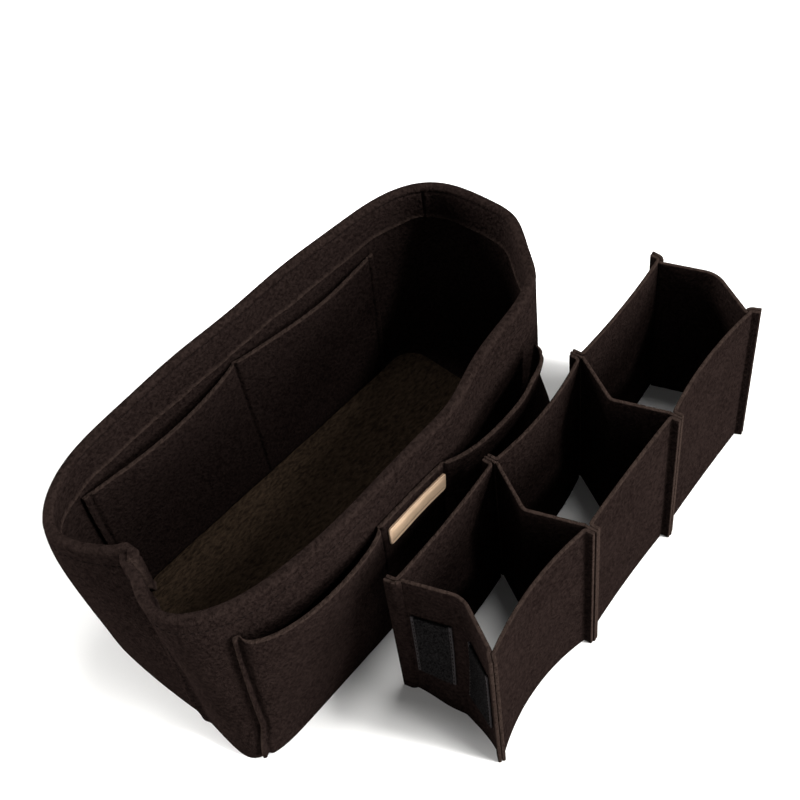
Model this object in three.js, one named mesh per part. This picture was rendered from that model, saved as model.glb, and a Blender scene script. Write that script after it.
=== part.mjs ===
// Purse organizer insert in black felt: an open tub with sewn pockets, a loose base board lying in it,
// and a folding divider with three compartments that stands beside it.
// Millimetres, +Z up. The origin is the middle of the tub's underside. +X runs to the tub's rounded far end,
// and the outside pockets with the label face -Y.

import * as THREE from 'three';

// Felt and sewing
const FELT = 2.5;
const SEWN_GAP = 0.3;

// Tub: a rectangle with round corners at the floor that flares to an oval at the rim
const TUB_HEIGHT = 125;
const FLOOR_LENGTH = 263;
const FLOOR_WIDTH = 124;
const FLOOR_SQUARENESS = 8;
const RIM_NEAR_REACH = 145;
const RIM_FAR_REACH = 138;
const RIM_WIDTH = 139.6;
const RIM_SHIFT_FRONT = 3.2;
const RIM_SQUARENESS_NEAR_FRONT = 2.85;
const RIM_SQUARENESS_NEAR_BACK = 3.65;
const RIM_SQUARENESS_FAR_FRONT = 5.4;
const RIM_SQUARENESS_FAR_BACK = 4.2;
const SQUARENESS_RISE = 1.5;
const SQUARENESS_RISE_NEAR_FRONT = 0.5;
const RIM_ROUNDING = 2;

// Near end seam: the wall strip's two ends meet here and are drawn inwards at the rim
const SEAM_DENT_RIM = 23;
const SEAM_DENT_FLOOR = 1;
const SEAM_DENT_HALF_WIDTH = 44;
const SEAM_DENT_SHARPNESS = 1.7;
const SEAM_Y_RIM = -1.7;
const SEAM_Y_FLOOR = -22;
const SEAM_SLIT = 0.4;
const SEAM_SLANT_SHARE = 0.06;

// Front half, which narrows towards the far end by these shares at the floor and at the rim
const FRONT_TAPER_FLOOR = 0.2;
const FRONT_TAPER_RIM = 0.28;

// Front corner of the far end, which is drawn in at the floor and more so higher up, over the right pocket
const LEAN_IN_FLOOR = 8;
const LEAN_IN = 20;
const LEAN_IN_ANGLE = THREE.MathUtils.degToRad(-22.5);
const LEAN_IN_TO_FRONT_FLOOR = THREE.MathUtils.degToRad(28);
const LEAN_IN_TO_FRONT = THREE.MathUtils.degToRad(52);
const LEAN_IN_TO_END = THREE.MathUtils.degToRad(27);
const LEAN_IN_FULL_HEIGHT = 60;
const LEAN_IN_SPREAD_HEIGHT = 95;

// Facing strips sewn inside the rim, joined at the near end seam and at the back of the far end
const FACING_DEPTH = 23;
const FACING_JOINT_FROM_SEAM = 320;

// Inside pocket panel along the back wall, sewn down its middle into two pockets
const INNER_POCKET_WIDTH = 101;
const INNER_POCKET_SEAM_X = -6.5;
const INNER_POCKET_DROP = 8;
const INNER_POCKET_BOW = 7.2;
const INNER_POCKET_FLAT_HEIGHT = 40;

// Outside pocket panel along the front wall: a pocket, a flat section with the label, and a pocket.
// Its upper edge lies this far below the rim at its near end, on both sides of the label and at its far end.
const FRONT_PANEL_DROPS = [19.5, 25, 29.5, 27];
const FRONT_PANEL_FROM_SEAM = 69.5;
const LEFT_POCKET_WIDTH = 81;
const LABEL_SECTION_WIDTH = 48;
const RIGHT_POCKET_WIDTH = 82;
const LEFT_POCKET_BOW = 8;
const LEFT_POCKET_SKEW = 0.75;
const RIGHT_POCKET_BOW = 16;
const RIGHT_POCKET_SKEW = 1.5;
const POCKET_FULLNESS = 0.6;

// Leather label on the flat section
const LABEL_FROM_LEFT_POCKET = 4;
const LABEL_WIDTH = 43.5;
const LABEL_HEIGHT = 13;
const LABEL_THICKNESS = 1.2;
const LABEL_DROP = 6;

// Loose base board
const BOARD_THICKNESS = 3.5;
const BOARD_END_SPACE = 26.5;
const BOARD_SIDE_SPACE = 1.7;
const BOARD_CORNER = 14;
const BOARD_FRONT_TAPER = 0.28;

// Divider: two long panels joined by four cross panels, each creased into two leaves
const DIVIDER_FELT = 2;
const DIVIDER_HEIGHT = 100;
const DIVIDER_X = 62.7;
const DIVIDER_SPACE = 17.2;
const DIVIDER_TURN = THREE.MathUtils.degToRad(5.9);
const CELL_COUNT = 3;
const CELL_PITCH = 74;
const PANEL_BOW = 5;
const LEAF_LENGTH = 27.5;
const LEAF_FOLD = THREE.MathUtils.degToRad(24);
const DIVIDER_SKEW = THREE.MathUtils.degToRad(7.5);
const HINGE_GAP = 0.4;
const CREASE_GAP = 0.3;
const TUCK_DEPTH = 3.2;
const FLANGE_LENGTH = 3;

// Hook and loop patches on the outside of the divider's near end
const PATCH_WIDTH = 20;
const PATCH_HEIGHT = 50;
const PATCH_THICKNESS = 1.2;
const PATCH_FROM_CREASE = 6;
const PATCH_FOOT = 22;

// Mesh density
const STATION_STEP = 7.5;
const WALL_ROWS = 4;
const POCKET_ROWS = 5;
const BOW_STATIONS = 10;
const ARC_STEPS = 6;
const STRAIGHT_TOLERANCE = 0.02;

// Fixed relations between the pieces
const FACING_FACE = FELT + SEWN_GAP;
const BOARD_FOOT = FELT + SEWN_GAP;
const PANEL_TO_HINGE = DIVIDER_FELT / 2 + HINGE_GAP;
const FRONT_PANEL_TOP = TUB_HEIGHT - Math.min(...FRONT_PANEL_DROPS);
const INNER_POCKET_TOP = TUB_HEIGHT - FACING_DEPTH - INNER_POCKET_DROP;

const { clamp, lerp, smoothstep } = THREE.MathUtils;

function felt(color) {
  return new THREE.MeshStandardMaterial({ color, roughness: 0.95, metalness: 0 });
}

function piece(name, geometry, material) {
  const mesh = new THREE.Mesh(geometry, material);
  mesh.name = name;
  return mesh;
}

// One horizontal ring of the tub's outer face at a height. It starts at the near end seam and runs along
// the front, round the far end and back along the rear wall. Each half is a superellipse.
class TubRing extends THREE.Curve {
  constructor(z) {
    super();
    this.share = clamp(z / TUB_HEIGHT, 0, 1);
    this.nearReach = lerp(FLOOR_LENGTH / 2, RIM_NEAR_REACH, this.share);
    this.farReach = lerp(FLOOR_LENGTH / 2, RIM_FAR_REACH, this.share);
    this.halfWidth = lerp(FLOOR_WIDTH, RIM_WIDTH, this.share) / 2;
    this.shiftFront = RIM_SHIFT_FRONT * this.share;
    this.dent = lerp(SEAM_DENT_FLOOR, SEAM_DENT_RIM, this.share);
    this.taper = lerp(FRONT_TAPER_FLOOR, FRONT_TAPER_RIM, this.share);
    this.leanIn = lerp(LEAN_IN_FLOOR, LEAN_IN, smoothstep(z, 0, LEAN_IN_FULL_HEIGHT));
    const spread = smoothstep(z, 0, LEAN_IN_SPREAD_HEIGHT);
    this.leanInToFront = lerp(LEAN_IN_TO_FRONT_FLOOR, LEAN_IN_TO_FRONT, spread);
    const seamLine = lerp(SEAM_Y_FLOOR, SEAM_Y_RIM, this.share) + this.shiftFront;
    this.start = Math.PI - Math.atan(seamLine / this.nearReach);
    this.seamY = this.plainRadius(this.start) * Math.sin(this.start);
    this.arcLengthDivisions = 480;
  }

  squareness(nearSide, frontSide) {
    const nearRim = frontSide ? RIM_SQUARENESS_NEAR_FRONT : RIM_SQUARENESS_NEAR_BACK;
    const farRim = frontSide ? RIM_SQUARENESS_FAR_FRONT : RIM_SQUARENESS_FAR_BACK;
    const rim = nearSide ? nearRim : farRim;
    const rise = nearSide && frontSide ? SQUARENESS_RISE_NEAR_FRONT : SQUARENESS_RISE;
    return lerp(FLOOR_SQUARENESS, rim, this.share ** rise);
  }

  plainRadius(angle) {
    const c = Math.cos(angle);
    const s = Math.sin(angle);
    const n = this.squareness(c < 0, s < 0);
    const x = Math.abs(c / (c < 0 ? this.nearReach : this.farReach)) ** n;
    const y = Math.abs(s / this.halfWidth) ** n;
    return (x + y) ** (-1 / n);
  }

  getPoint(t, target = new THREE.Vector3()) {
    const angle = this.start + 2 * Math.PI * t;
    const c = Math.cos(angle);
    const s = Math.sin(angle);
    const past = Math.atan2(s, c) - LEAN_IN_ANGLE;
    const faded = clamp(past > 0 ? past / LEAN_IN_TO_END : -past / this.leanInToFront, 0, 1);
    const radius = this.plainRadius(angle) - this.leanIn * Math.cos(faded * Math.PI / 2) ** 2;
    const x = radius * c;
    const y = radius * s;
    const beside = Math.max(0, 1 - Math.abs(y - this.seamY) / SEAM_DENT_HALF_WIDTH);
    const drawn = c < 0 ? beside ** SEAM_DENT_SHARPNESS : 0;
    const along = (x + this.nearReach) / (this.nearReach + this.farReach);
    const narrowed = y < 0 ? y * (1 - this.taper * along) : y;
    return target.set(x + this.dent * drawn, narrowed - this.shiftFront, 0);
  }
}

function spaced(from, to, count) {
  return Array.from({ length: count + 1 }, (_, i) => lerp(from, to, i / count));
}

// The wall is straight between rings at these levels.
const LEVELS = [...spaced(0, FRONT_PANEL_TOP, WALL_ROWS), TUB_HEIGHT];
const RINGS = LEVELS.map((z) => new TubRing(z));

// The wall's length is measured along the rim, from the near end seam.
const RIM_RUN = RINGS[WALL_ROWS + 1].getLength();

// The near end seam slants, so beside it the rings are shifted against the rim. Elsewhere they stand in line.
function ringPoint(ring, run, depth) {
  const rim = RINGS[WALL_ROWS + 1];
  const onRim = rim.getUtoTmapping(clamp(run / RIM_RUN, 0, 1));
  const clear = Math.min(1, Math.min(onRim, 1 - onRim) / SEAM_SLANT_SHARE);
  const onRing = clamp(onRim - clear * (ring.start - rim.start) / (2 * Math.PI), 0, 1);
  const at = ring.getPoint(onRing);
  const along = ring.getTangent(onRing);
  return new THREE.Vector3(at.x - along.y * depth, at.y + along.x * depth, 0);
}

// A point at a distance along the wall and a depth inside its outer face, or outside it below zero.
function wallPoint(run, z, depth) {
  const upper = Math.max(1, LEVELS.findIndex((level) => level >= z));
  const share = (z - LEVELS[upper - 1]) / (LEVELS[upper] - LEVELS[upper - 1]);
  const low = ringPoint(RINGS[upper - 1], run, depth);
  return low.lerp(ringPoint(RINGS[upper], run, depth), share).setZ(z);
}

// The distance along the wall at which the back wall passes a given x.
function backRunAt(x) {
  let low = RIM_RUN / 2;
  let high = RIM_RUN;
  while (high - low > 1e-6) {
    const middle = (low + high) / 2;
    if (wallPoint(middle, TUB_HEIGHT / 2, 0).x > x) low = middle;
    else high = middle;
  }
  return low;
}

// Where seams and joints cross the wall, measured along it.
const LEFT_POCKET_END = FRONT_PANEL_FROM_SEAM + LEFT_POCKET_WIDTH;
const RIGHT_POCKET_START = LEFT_POCKET_END + LABEL_SECTION_WIDTH;
const RIGHT_POCKET_END = RIGHT_POCKET_START + RIGHT_POCKET_WIDTH;
const FACING_JOINT = RIM_RUN - FACING_JOINT_FROM_SEAM;
const INNER_SEAM = backRunAt(INNER_POCKET_SEAM_X);
const INNER_START = INNER_SEAM - INNER_POCKET_WIDTH;
const INNER_END = INNER_SEAM + INNER_POCKET_WIDTH;

// Layers that lie on one another share these stations, so that their faces stay parallel.
function wallStations() {
  const marks = [
    SEAM_SLIT / 2, FRONT_PANEL_FROM_SEAM, LEFT_POCKET_END, RIGHT_POCKET_START, RIGHT_POCKET_END,
    FACING_JOINT, INNER_START, INNER_SEAM, INNER_END, RIM_RUN - SEAM_SLIT / 2,
  ].sort((a, b) => a - b);
  const stations = [marks[0]];
  for (let i = 1; i < marks.length; i += 1) {
    const count = Math.ceil((marks[i] - marks[i - 1]) / STATION_STEP);
    stations.push(...spaced(marks[i - 1], marks[i], count).slice(1));
  }
  return stations;
}

const STATIONS = wallStations();

function stationsBetween(from, to) {
  return [from, ...STATIONS.filter((run) => run > from + SEAM_SLIT && run < to - SEAM_SLIT), to];
}

// Rows over the rounded edge of the rim.
const RIM_ROWS = [0, 0.5, 0.85, 1].map((share) => TUB_HEIGHT - RIM_ROUNDING * (1 - share));

function rimInset(z) {
  const up = Math.max(0, z - (TUB_HEIGHT - RIM_ROUNDING));
  return RIM_ROUNDING - Math.sqrt(RIM_ROUNDING ** 2 - up ** 2);
}

// A closed felt strip standing on the wall's course, between an outer and an inner depth. Its rows lie level
// unless a slope is given.
function feltStrip(runs, heights, outerDepth, innerDepth, slope = (run, z) => z) {
  const across = runs.length;
  const up = heights.length;
  const positions = [];
  for (const depth of [outerDepth, innerDepth]) {
    for (const z of heights) {
      for (const run of runs) {
        const at = slope(run, z);
        positions.push(...wallPoint(run, at, depth(run, at)).toArray());
      }
    }
  }
  const index = [];
  const quad = (a, b, c, d) => index.push(a, b, c, a, c, d);
  const outer = (i, j) => j * across + i;
  const inner = (i, j) => across * up + j * across + i;
  for (let j = 0; j < up - 1; j += 1) {
    for (let i = 0; i < across - 1; i += 1) {
      quad(outer(i, j), outer(i + 1, j), outer(i + 1, j + 1), outer(i, j + 1));
      quad(inner(i, j), inner(i, j + 1), inner(i + 1, j + 1), inner(i + 1, j));
    }
    quad(inner(0, j), outer(0, j), outer(0, j + 1), inner(0, j + 1));
    quad(outer(across - 1, j), inner(across - 1, j), inner(across - 1, j + 1), outer(across - 1, j + 1));
  }
  for (let i = 0; i < across - 1; i += 1) {
    quad(inner(i, 0), inner(i + 1, 0), outer(i + 1, 0), outer(i, 0));
    quad(outer(i, up - 1), outer(i + 1, up - 1), inner(i + 1, up - 1), inner(i, up - 1));
  }
  const geometry = new THREE.BufferGeometry();
  geometry.setAttribute('position', new THREE.Float32BufferAttribute(positions, 3));
  geometry.setIndex(index);
  geometry.computeVertexNormals();
  return geometry;
}

function plate(points, thickness, foot) {
  const geometry = new THREE.ExtrudeGeometry(new THREE.Shape(points), { depth: thickness, bevelEnabled: false });
  return geometry.translate(0, 0, foot);
}

// Tub

function tubWall() {
  const rows = [...LEVELS.slice(0, -1), ...RIM_ROWS];
  return feltStrip(STATIONS, rows, (run, z) => rimInset(z), () => FELT);
}

function rimFacing(fromRun, toRun) {
  const runs = stationsBetween(fromRun + SEAM_SLIT / 2, toRun - SEAM_SLIT / 2);
  const rows = [TUB_HEIGHT - FACING_DEPTH, ...RIM_ROWS];
  return feltStrip(runs, rows, () => FACING_FACE, (run, z) => FACING_FACE + FELT - rimInset(z));
}

// Leaves out the points of an outline that lie on the line between their neighbours.
function withoutStraightPoints(points) {
  const kept = [points[0]];
  for (let i = 1; i < points.length; i += 1) {
    const back = kept[kept.length - 1].clone().sub(points[i]);
    const ahead = points[(i + 1) % points.length].clone().sub(points[i]);
    const offLine = Math.abs(back.cross(ahead)) / back.distanceTo(ahead);
    if (offLine > STRAIGHT_TOLERANCE) kept.push(points[i]);
  }
  return kept;
}

function bottomPanel() {
  const outline = STATIONS.map((run) => {
    const at = wallPoint(run, FELT, FACING_FACE);
    return new THREE.Vector2(at.x, at.y);
  });
  return plate(withoutStraightPoints(outline), FELT, 0);
}

// How far a pocket's mouth stands off the wall, as a share of its bow, at a share of the pocket's width.
// A skew above 1 moves the fullest place towards the far end, and below 1 towards the near end.
function fullness(share, skew) {
  return Math.sin(Math.PI * clamp(share, 0, 1) ** skew) ** POCKET_FULLNESS;
}

function innerPocketPanel() {
  const runs = stationsBetween(INNER_START, INNER_END);
  const low = spaced(FELT + SEWN_GAP, INNER_POCKET_FLAT_HEIGHT, 1);
  const high = spaced(INNER_POCKET_FLAT_HEIGHT, INNER_POCKET_TOP, POCKET_ROWS).slice(1);
  const standOff = (run, z) => {
    const share = Math.abs(run - INNER_SEAM) / INNER_POCKET_WIDTH;
    const rise = smoothstep(z, INNER_POCKET_FLAT_HEIGHT, INNER_POCKET_TOP);
    return FACING_FACE + INNER_POCKET_BOW * fullness(share, 1) * rise;
  };
  return feltStrip(runs, [...low, ...high], standOff, (run, z) => standOff(run, z) + FELT);
}

// Height of the outside panel's upper edge, which is straight between its seams.
function frontPanelTop(run) {
  const seams = [FRONT_PANEL_FROM_SEAM, LEFT_POCKET_END, RIGHT_POCKET_START, RIGHT_POCKET_END];
  const next = Math.max(1, seams.findIndex((seam) => seam >= run));
  const share = (run - seams[next - 1]) / (seams[next] - seams[next - 1]);
  return TUB_HEIGHT - lerp(FRONT_PANEL_DROPS[next - 1], FRONT_PANEL_DROPS[next], share);
}

function frontPocketPanel() {
  const runs = stationsBetween(FRONT_PANEL_FROM_SEAM, RIGHT_POCKET_END);
  const standOff = (run, z) => {
    const inLeft = (run - FRONT_PANEL_FROM_SEAM) / LEFT_POCKET_WIDTH;
    const inRight = (run - RIGHT_POCKET_START) / RIGHT_POCKET_WIDTH;
    const left = LEFT_POCKET_BOW * fullness(inLeft, LEFT_POCKET_SKEW);
    const right = RIGHT_POCKET_BOW * fullness(inRight, RIGHT_POCKET_SKEW);
    return SEWN_GAP + (left + right) * z / frontPanelTop(run);
  };
  const outer = (run, z) => -FELT - standOff(run, z);
  const inner = (run, z) => -standOff(run, z);
  return feltStrip(runs, LEVELS.slice(0, -1), outer, inner, (run, z) => Math.min(z, frontPanelTop(run)));
}

function leatherLabel() {
  const start = LEFT_POCKET_END + LABEL_FROM_LEFT_POCKET;
  const face = SEWN_GAP + FELT + SEWN_GAP;
  const runs = spaced(start, start + LABEL_WIDTH, ARC_STEPS);
  const drops = [LABEL_DROP + LABEL_HEIGHT, LABEL_DROP];
  const slope = (run, drop) => frontPanelTop(run) - drop;
  return feltStrip(runs, drops, () => -face - LABEL_THICKNESS, () => -face, slope);
}

function baseBoard() {
  const halfLength = FLOOR_LENGTH / 2 - BOARD_END_SPACE;
  const halfWidth = FLOOR_WIDTH / 2 - FACING_FACE - FELT - BOARD_SIDE_SPACE;
  const x = halfLength - BOARD_CORNER;
  const y = halfWidth - BOARD_CORNER;
  const outline = new THREE.Path();
  outline.absarc(x, y, BOARD_CORNER, 0, Math.PI / 2);
  outline.absarc(-x, y, BOARD_CORNER, Math.PI / 2, Math.PI);
  outline.absarc(-x, -y, BOARD_CORNER, Math.PI, 1.5 * Math.PI);
  outline.absarc(x, -y, BOARD_CORNER, 1.5 * Math.PI, 2 * Math.PI);
  const points = outline.getPoints(ARC_STEPS);
  const tapered = (p) => (p.y < 0 ? p.y * (1 - BOARD_FRONT_TAPER * (p.x / FLOOR_LENGTH + 0.5)) : p.y);
  return plate(points.map((p) => p.clone().setY(tapered(p))), BOARD_THICKNESS, BOARD_FOOT);
}

// Divider

const SEAM_OFFSETS = spaced(-CELL_COUNT / 2, CELL_COUNT / 2, CELL_COUNT).map((n) => n * CELL_PITCH);

// From one long panel's hinge line to the other's, and from there to the crease, square to the hinges.
const HALF_SPAN = LEAF_LENGTH * Math.cos(LEAF_FOLD) + (DIVIDER_FELT / 2) * Math.sin(LEAF_FOLD);

// A long panel seen from above. Its inner face lies on y = 0 at the seams and bows inwards between them.
// Each end is a flange turned out at 45 degrees, and each partition's edge is gripped in an outward tuck.
function longPanelOutline(outward) {
  const bow = (x) => -PANEL_BOW * (1 - Math.cos(2 * Math.PI * (x - SEAM_OFFSETS[0]) / CELL_PITCH)) / 2;
  const face = (level) => (x) => new THREE.Vector2(x, bow(x) + level);
  const start = SEAM_OFFSETS[0];
  const end = SEAM_OFFSETS[CELL_COUNT];
  const reach = FLANGE_LENGTH / Math.SQRT2;
  const layers = 2 * DIVIDER_FELT / Math.SQRT2;
  const inner = spaced(start, end, CELL_COUNT * BOW_STATIONS).map(face(0));
  const farFlange = [
    new THREE.Vector2(end + layers / 2 + reach, layers / 2 + reach),
    new THREE.Vector2(end - layers / 2 + reach, layers * 1.5 + reach),
  ];
  const nearFlange = farFlange.map((p) => new THREE.Vector2(start - (p.x - end), p.y)).reverse();
  const half = 1.5 * DIVIDER_FELT;
  const outer = [];
  for (let cell = CELL_COUNT - 1; cell >= 0; cell -= 1) {
    const from = SEAM_OFFSETS[cell + 1] - half;
    const to = SEAM_OFFSETS[cell] + half;
    outer.push(...spaced(from, to, BOW_STATIONS).map(face(DIVIDER_FELT)));
    if (cell > 0) {
      const tuck = new THREE.Path();
      tuck.absarc(SEAM_OFFSETS[cell], DIVIDER_FELT + TUCK_DEPTH - half, half, 0, Math.PI);
      outer.push(...tuck.getPoints(ARC_STEPS));
    }
  }
  return [...inner, ...farFlange, ...outer, ...nearFlange].map((p) => new THREE.Vector2(p.x, outward * p.y));
}

// A leaf lies along +X from its hinge line, where its end is round, to its crease, where it is cut square.
function leafOutline() {
  const outline = new THREE.Path();
  outline.moveTo(LEAF_LENGTH - CREASE_GAP / 2, DIVIDER_FELT / 2);
  outline.absarc(0, 0, DIVIDER_FELT / 2, Math.PI / 2, 1.5 * Math.PI);
  outline.lineTo(LEAF_LENGTH - CREASE_GAP / 2, -DIVIDER_FELT / 2);
  return outline.getPoints(ARC_STEPS);
}

function patchGeometry(side) {
  const far = LEAF_LENGTH - PATCH_FROM_CREASE;
  const low = DIVIDER_FELT / 2 + SEWN_GAP;
  const geometry = new THREE.BoxGeometry(PATCH_WIDTH, PATCH_THICKNESS, PATCH_HEIGHT);
  return geometry.translate(far - PATCH_WIDTH / 2, side * (low + PATCH_THICKNESS / 2), PATCH_FOOT + PATCH_HEIGHT / 2);
}

// The two leaves of a cross panel. Its crease points to the far end if lean is 1, or the near end if -1.
function crossPanel(name, lean, color) {
  const group = new THREE.Group();
  const left = new THREE.Group();
  const right = new THREE.Group();
  left.rotation.z = -Math.PI / 2 + lean * LEAF_FOLD;
  right.position.y = -2 * HALF_SPAN;
  right.rotation.z = Math.PI / 2 - lean * LEAF_FOLD;
  left.add(piece(`${name}_left_leaf`, plate(leafOutline(), DIVIDER_HEIGHT, 0), felt(color)));
  right.add(piece(`${name}_right_leaf`, plate(leafOutline(), DIVIDER_HEIGHT, 0), felt(color)));
  group.add(left, right);
  return { group, left, right };
}

function divider() {
  const group = new THREE.Group();
  group.add(piece('divider_left_panel', plate(longPanelOutline(1), DIVIDER_HEIGHT, 0), felt('#1d1715')));
  const span = new THREE.Vector2(-Math.sin(DIVIDER_SKEW), -Math.cos(DIVIDER_SKEW)).multiplyScalar(2 * HALF_SPAN);
  const rightPanel = piece('divider_right_panel', plate(longPanelOutline(-1), DIVIDER_HEIGHT, 0), felt('#241b18'));
  rightPanel.position.set(span.x, span.y - 2 * PANEL_TO_HINGE, 0);
  group.add(rightPanel);
  const crossings = [['near_end', 1], ['near_partition', -1], ['far_partition', -1], ['far_end', 1]];
  crossings.forEach(([name, lean], i) => {
    const cross = crossPanel(name, lean, '#191412');
    cross.group.position.set(SEAM_OFFSETS[i], -PANEL_TO_HINGE, 0);
    cross.group.rotation.z = -DIVIDER_SKEW;
    if (name === 'near_end') {
      cross.left.add(piece('loop_patch', patchGeometry(-1), felt('#26221f')));
      cross.right.add(piece('hook_patch', patchGeometry(1), felt('#1a1817')));
    }
    group.add(cross.group);
  });
  return group;
}

const tub = new THREE.Group();
tub.add(piece('tub_wall', tubWall(), felt('#1c1614')));
tub.add(piece('front_rim_facing', rimFacing(0, FACING_JOINT), felt('#1c1614')));
tub.add(piece('back_rim_facing', rimFacing(FACING_JOINT, RIM_RUN), felt('#1c1614')));
tub.add(piece('bottom_panel', bottomPanel(), felt('#1c1614')));
tub.add(piece('inner_pocket_panel', innerPocketPanel(), felt('#191413')));
tub.add(piece('front_pocket_panel', frontPocketPanel(), felt('#1f1815')));
tub.add(piece('leather_label', leatherLabel(), new THREE.MeshStandardMaterial({
  color: '#a58d6c',
  roughness: 0.55,
  metalness: 0,
})));
tub.add(piece('base_board', baseBoard(), felt('#3a2f28')));

const folding = divider();
folding.position.set(DIVIDER_X, -FLOOR_WIDTH / 2 - DIVIDER_SPACE, 0);
folding.rotation.z = DIVIDER_TURN;

const organizer = new THREE.Group();
organizer.add(tub, folding);

export default organizer;
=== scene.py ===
"""Purse organizer insert in black wool felt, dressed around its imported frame.

The set is an open tub with sewn pockets, a loose base board lying in it, and a folding divider with three
compartments that stands beside it. Sizes are in millimetres, and become metres only where a mesh is made.
"""

import logging
from dataclasses import dataclass, field
from enum import Enum
from typing import Callable, Sequence

import bmesh
import bpy
import numpy as np
from mathutils import Matrix, Vector
from numpy.typing import NDArray


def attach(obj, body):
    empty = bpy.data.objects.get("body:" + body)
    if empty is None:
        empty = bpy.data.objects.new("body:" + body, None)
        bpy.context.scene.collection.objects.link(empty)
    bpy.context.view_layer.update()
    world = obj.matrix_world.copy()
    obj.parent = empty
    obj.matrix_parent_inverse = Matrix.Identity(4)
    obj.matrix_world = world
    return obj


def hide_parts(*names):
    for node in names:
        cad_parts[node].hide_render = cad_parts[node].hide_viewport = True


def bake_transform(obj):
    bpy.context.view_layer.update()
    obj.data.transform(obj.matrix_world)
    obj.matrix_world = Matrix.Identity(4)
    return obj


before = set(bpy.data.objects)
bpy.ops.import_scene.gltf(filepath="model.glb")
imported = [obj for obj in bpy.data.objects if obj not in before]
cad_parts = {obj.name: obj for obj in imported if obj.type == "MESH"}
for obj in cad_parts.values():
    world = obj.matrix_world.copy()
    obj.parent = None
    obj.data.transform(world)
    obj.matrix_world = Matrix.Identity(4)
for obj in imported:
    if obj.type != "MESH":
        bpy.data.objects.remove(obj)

Array = NDArray[np.float64]
Placer = Callable[[Array, Array, Array], Array]
Piece = bpy.types.Object
Input = bpy.types.NodeSocket | float

MM = 0.001
WELD_M = 1e-6
EDGE_ATTRIBUTE = "raw_edge"
UV_NAME = "cut"
# Angles of the quarter circle that rounds a worn edge. Rows within so many radii of the edge are left out.
QUARTER = np.linspace(0.0, np.pi / 2, 4)
CLEAR_RADII = 1.05
# A pad's rings lie closer together towards its edge, as this power of even shares.
RING_POWER = 0.8
# Points on each corner of a rounded rectangle.
CORNER_POINTS = 9
log = logging.getLogger("purse_organizer")


class Side(Enum):
    """The divider's two long sides, with the sign that points outwards."""

    LEFT = 1
    RIGHT = -1

    @property
    def label(self) -> str:
        """The side's name in lower case, as the frame's bodies have it."""
        return self.name.lower()


class Lean(Enum):
    """The end of the divider that a cross panel's crease points to."""

    FAR = 1
    NEAR = -1


class Held(str, Enum):
    """How a felt piece is held in place."""

    FOLDED = "folded"
    LAID = "laid"
    HUNG = "hung"


# Small maths


def smoothstep(x: Array | float, low: float, high: float) -> Array:
    """Rises from 0 at low to 1 at high: three times the share squared, less twice its cube."""
    share = np.clip((np.asarray(x, float) - low) / (high - low), 0.0, 1.0)
    return share * share * (3.0 - 2.0 * share)


def bell(x: Array | float, centre: float, width: float) -> Array:
    """A bell of height 1: e to the minus square of the distance from the centre over the width."""
    return np.exp(-(((np.asarray(x, float) - centre) / width) ** 2))


def lerp(low: float, high: float, share: Array | float) -> Array | float:
    """The value at a share of the way from low to high."""
    return low + (high - low) * share


def unit(vectors: Array) -> Array:
    """Vectors brought to a length of 1."""
    return vectors / np.linalg.norm(vectors, axis=-1, keepdims=True)


def lengths_along(points: Array) -> Array:
    """How far each point lies along the line through all of them."""
    return np.concatenate([[0.0], np.cumsum(np.linalg.norm(np.diff(points, axis=0), axis=1))])


def waves(u: Array, v: Array, length: float, count: int, seed: int) -> Array:
    """A soft uneven field: the mean of sine waves of about one length in seeded directions and phases.

    Args:
        u: First coordinate, in millimetres.
        v: Second coordinate, in millimetres.
        length: The waves' mean length, in millimetres.
        count: How many waves are added.
        seed: Seed of the directions, lengths and phases.

    Returns:
        Values of about -1 to 1 in the shape of u and v together.
    """
    rng = np.random.default_rng(seed)
    heading = rng.uniform(0.0, 2.0 * np.pi, count)
    number = 2.0 * np.pi / (length * rng.uniform(0.7, 1.5, count))
    phase = rng.uniform(0.0, 2.0 * np.pi, count)
    along = u[..., None] * np.cos(heading) + v[..., None] * np.sin(heading)
    return np.sin(along * number + phase).sum(-1) / np.sqrt(count)


def stations(start: float, end: float, step: float, marks: Sequence[float] = (), reach: float = 4.0,
             fine: float = 0.6) -> Array:
    """Places along a strip: evenly spaced, and closer together on both sides of each mark.

    Args:
        start: First place.
        end: Last place.
        step: Spacing away from the marks.
        marks: Places with fine detail, such as a seam.
        reach: How far the close spacing runs on both sides of a mark.
        fine: Spacing near the marks.

    Returns:
        The places in rising order.
    """
    even = np.linspace(start, end, int(np.ceil((end - start) / step)) + 1)
    near = [np.arange(mark - reach, mark + reach + fine / 2, fine) for mark in marks]
    places = np.sort(np.concatenate([even, *near]))
    places = places[(places > start + fine / 2) & (places < end - fine / 2)]
    apart = np.concatenate([[True], np.diff(places) > fine / 2])
    return np.concatenate([[start], places[apart], [end]])


# Meshes


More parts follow.
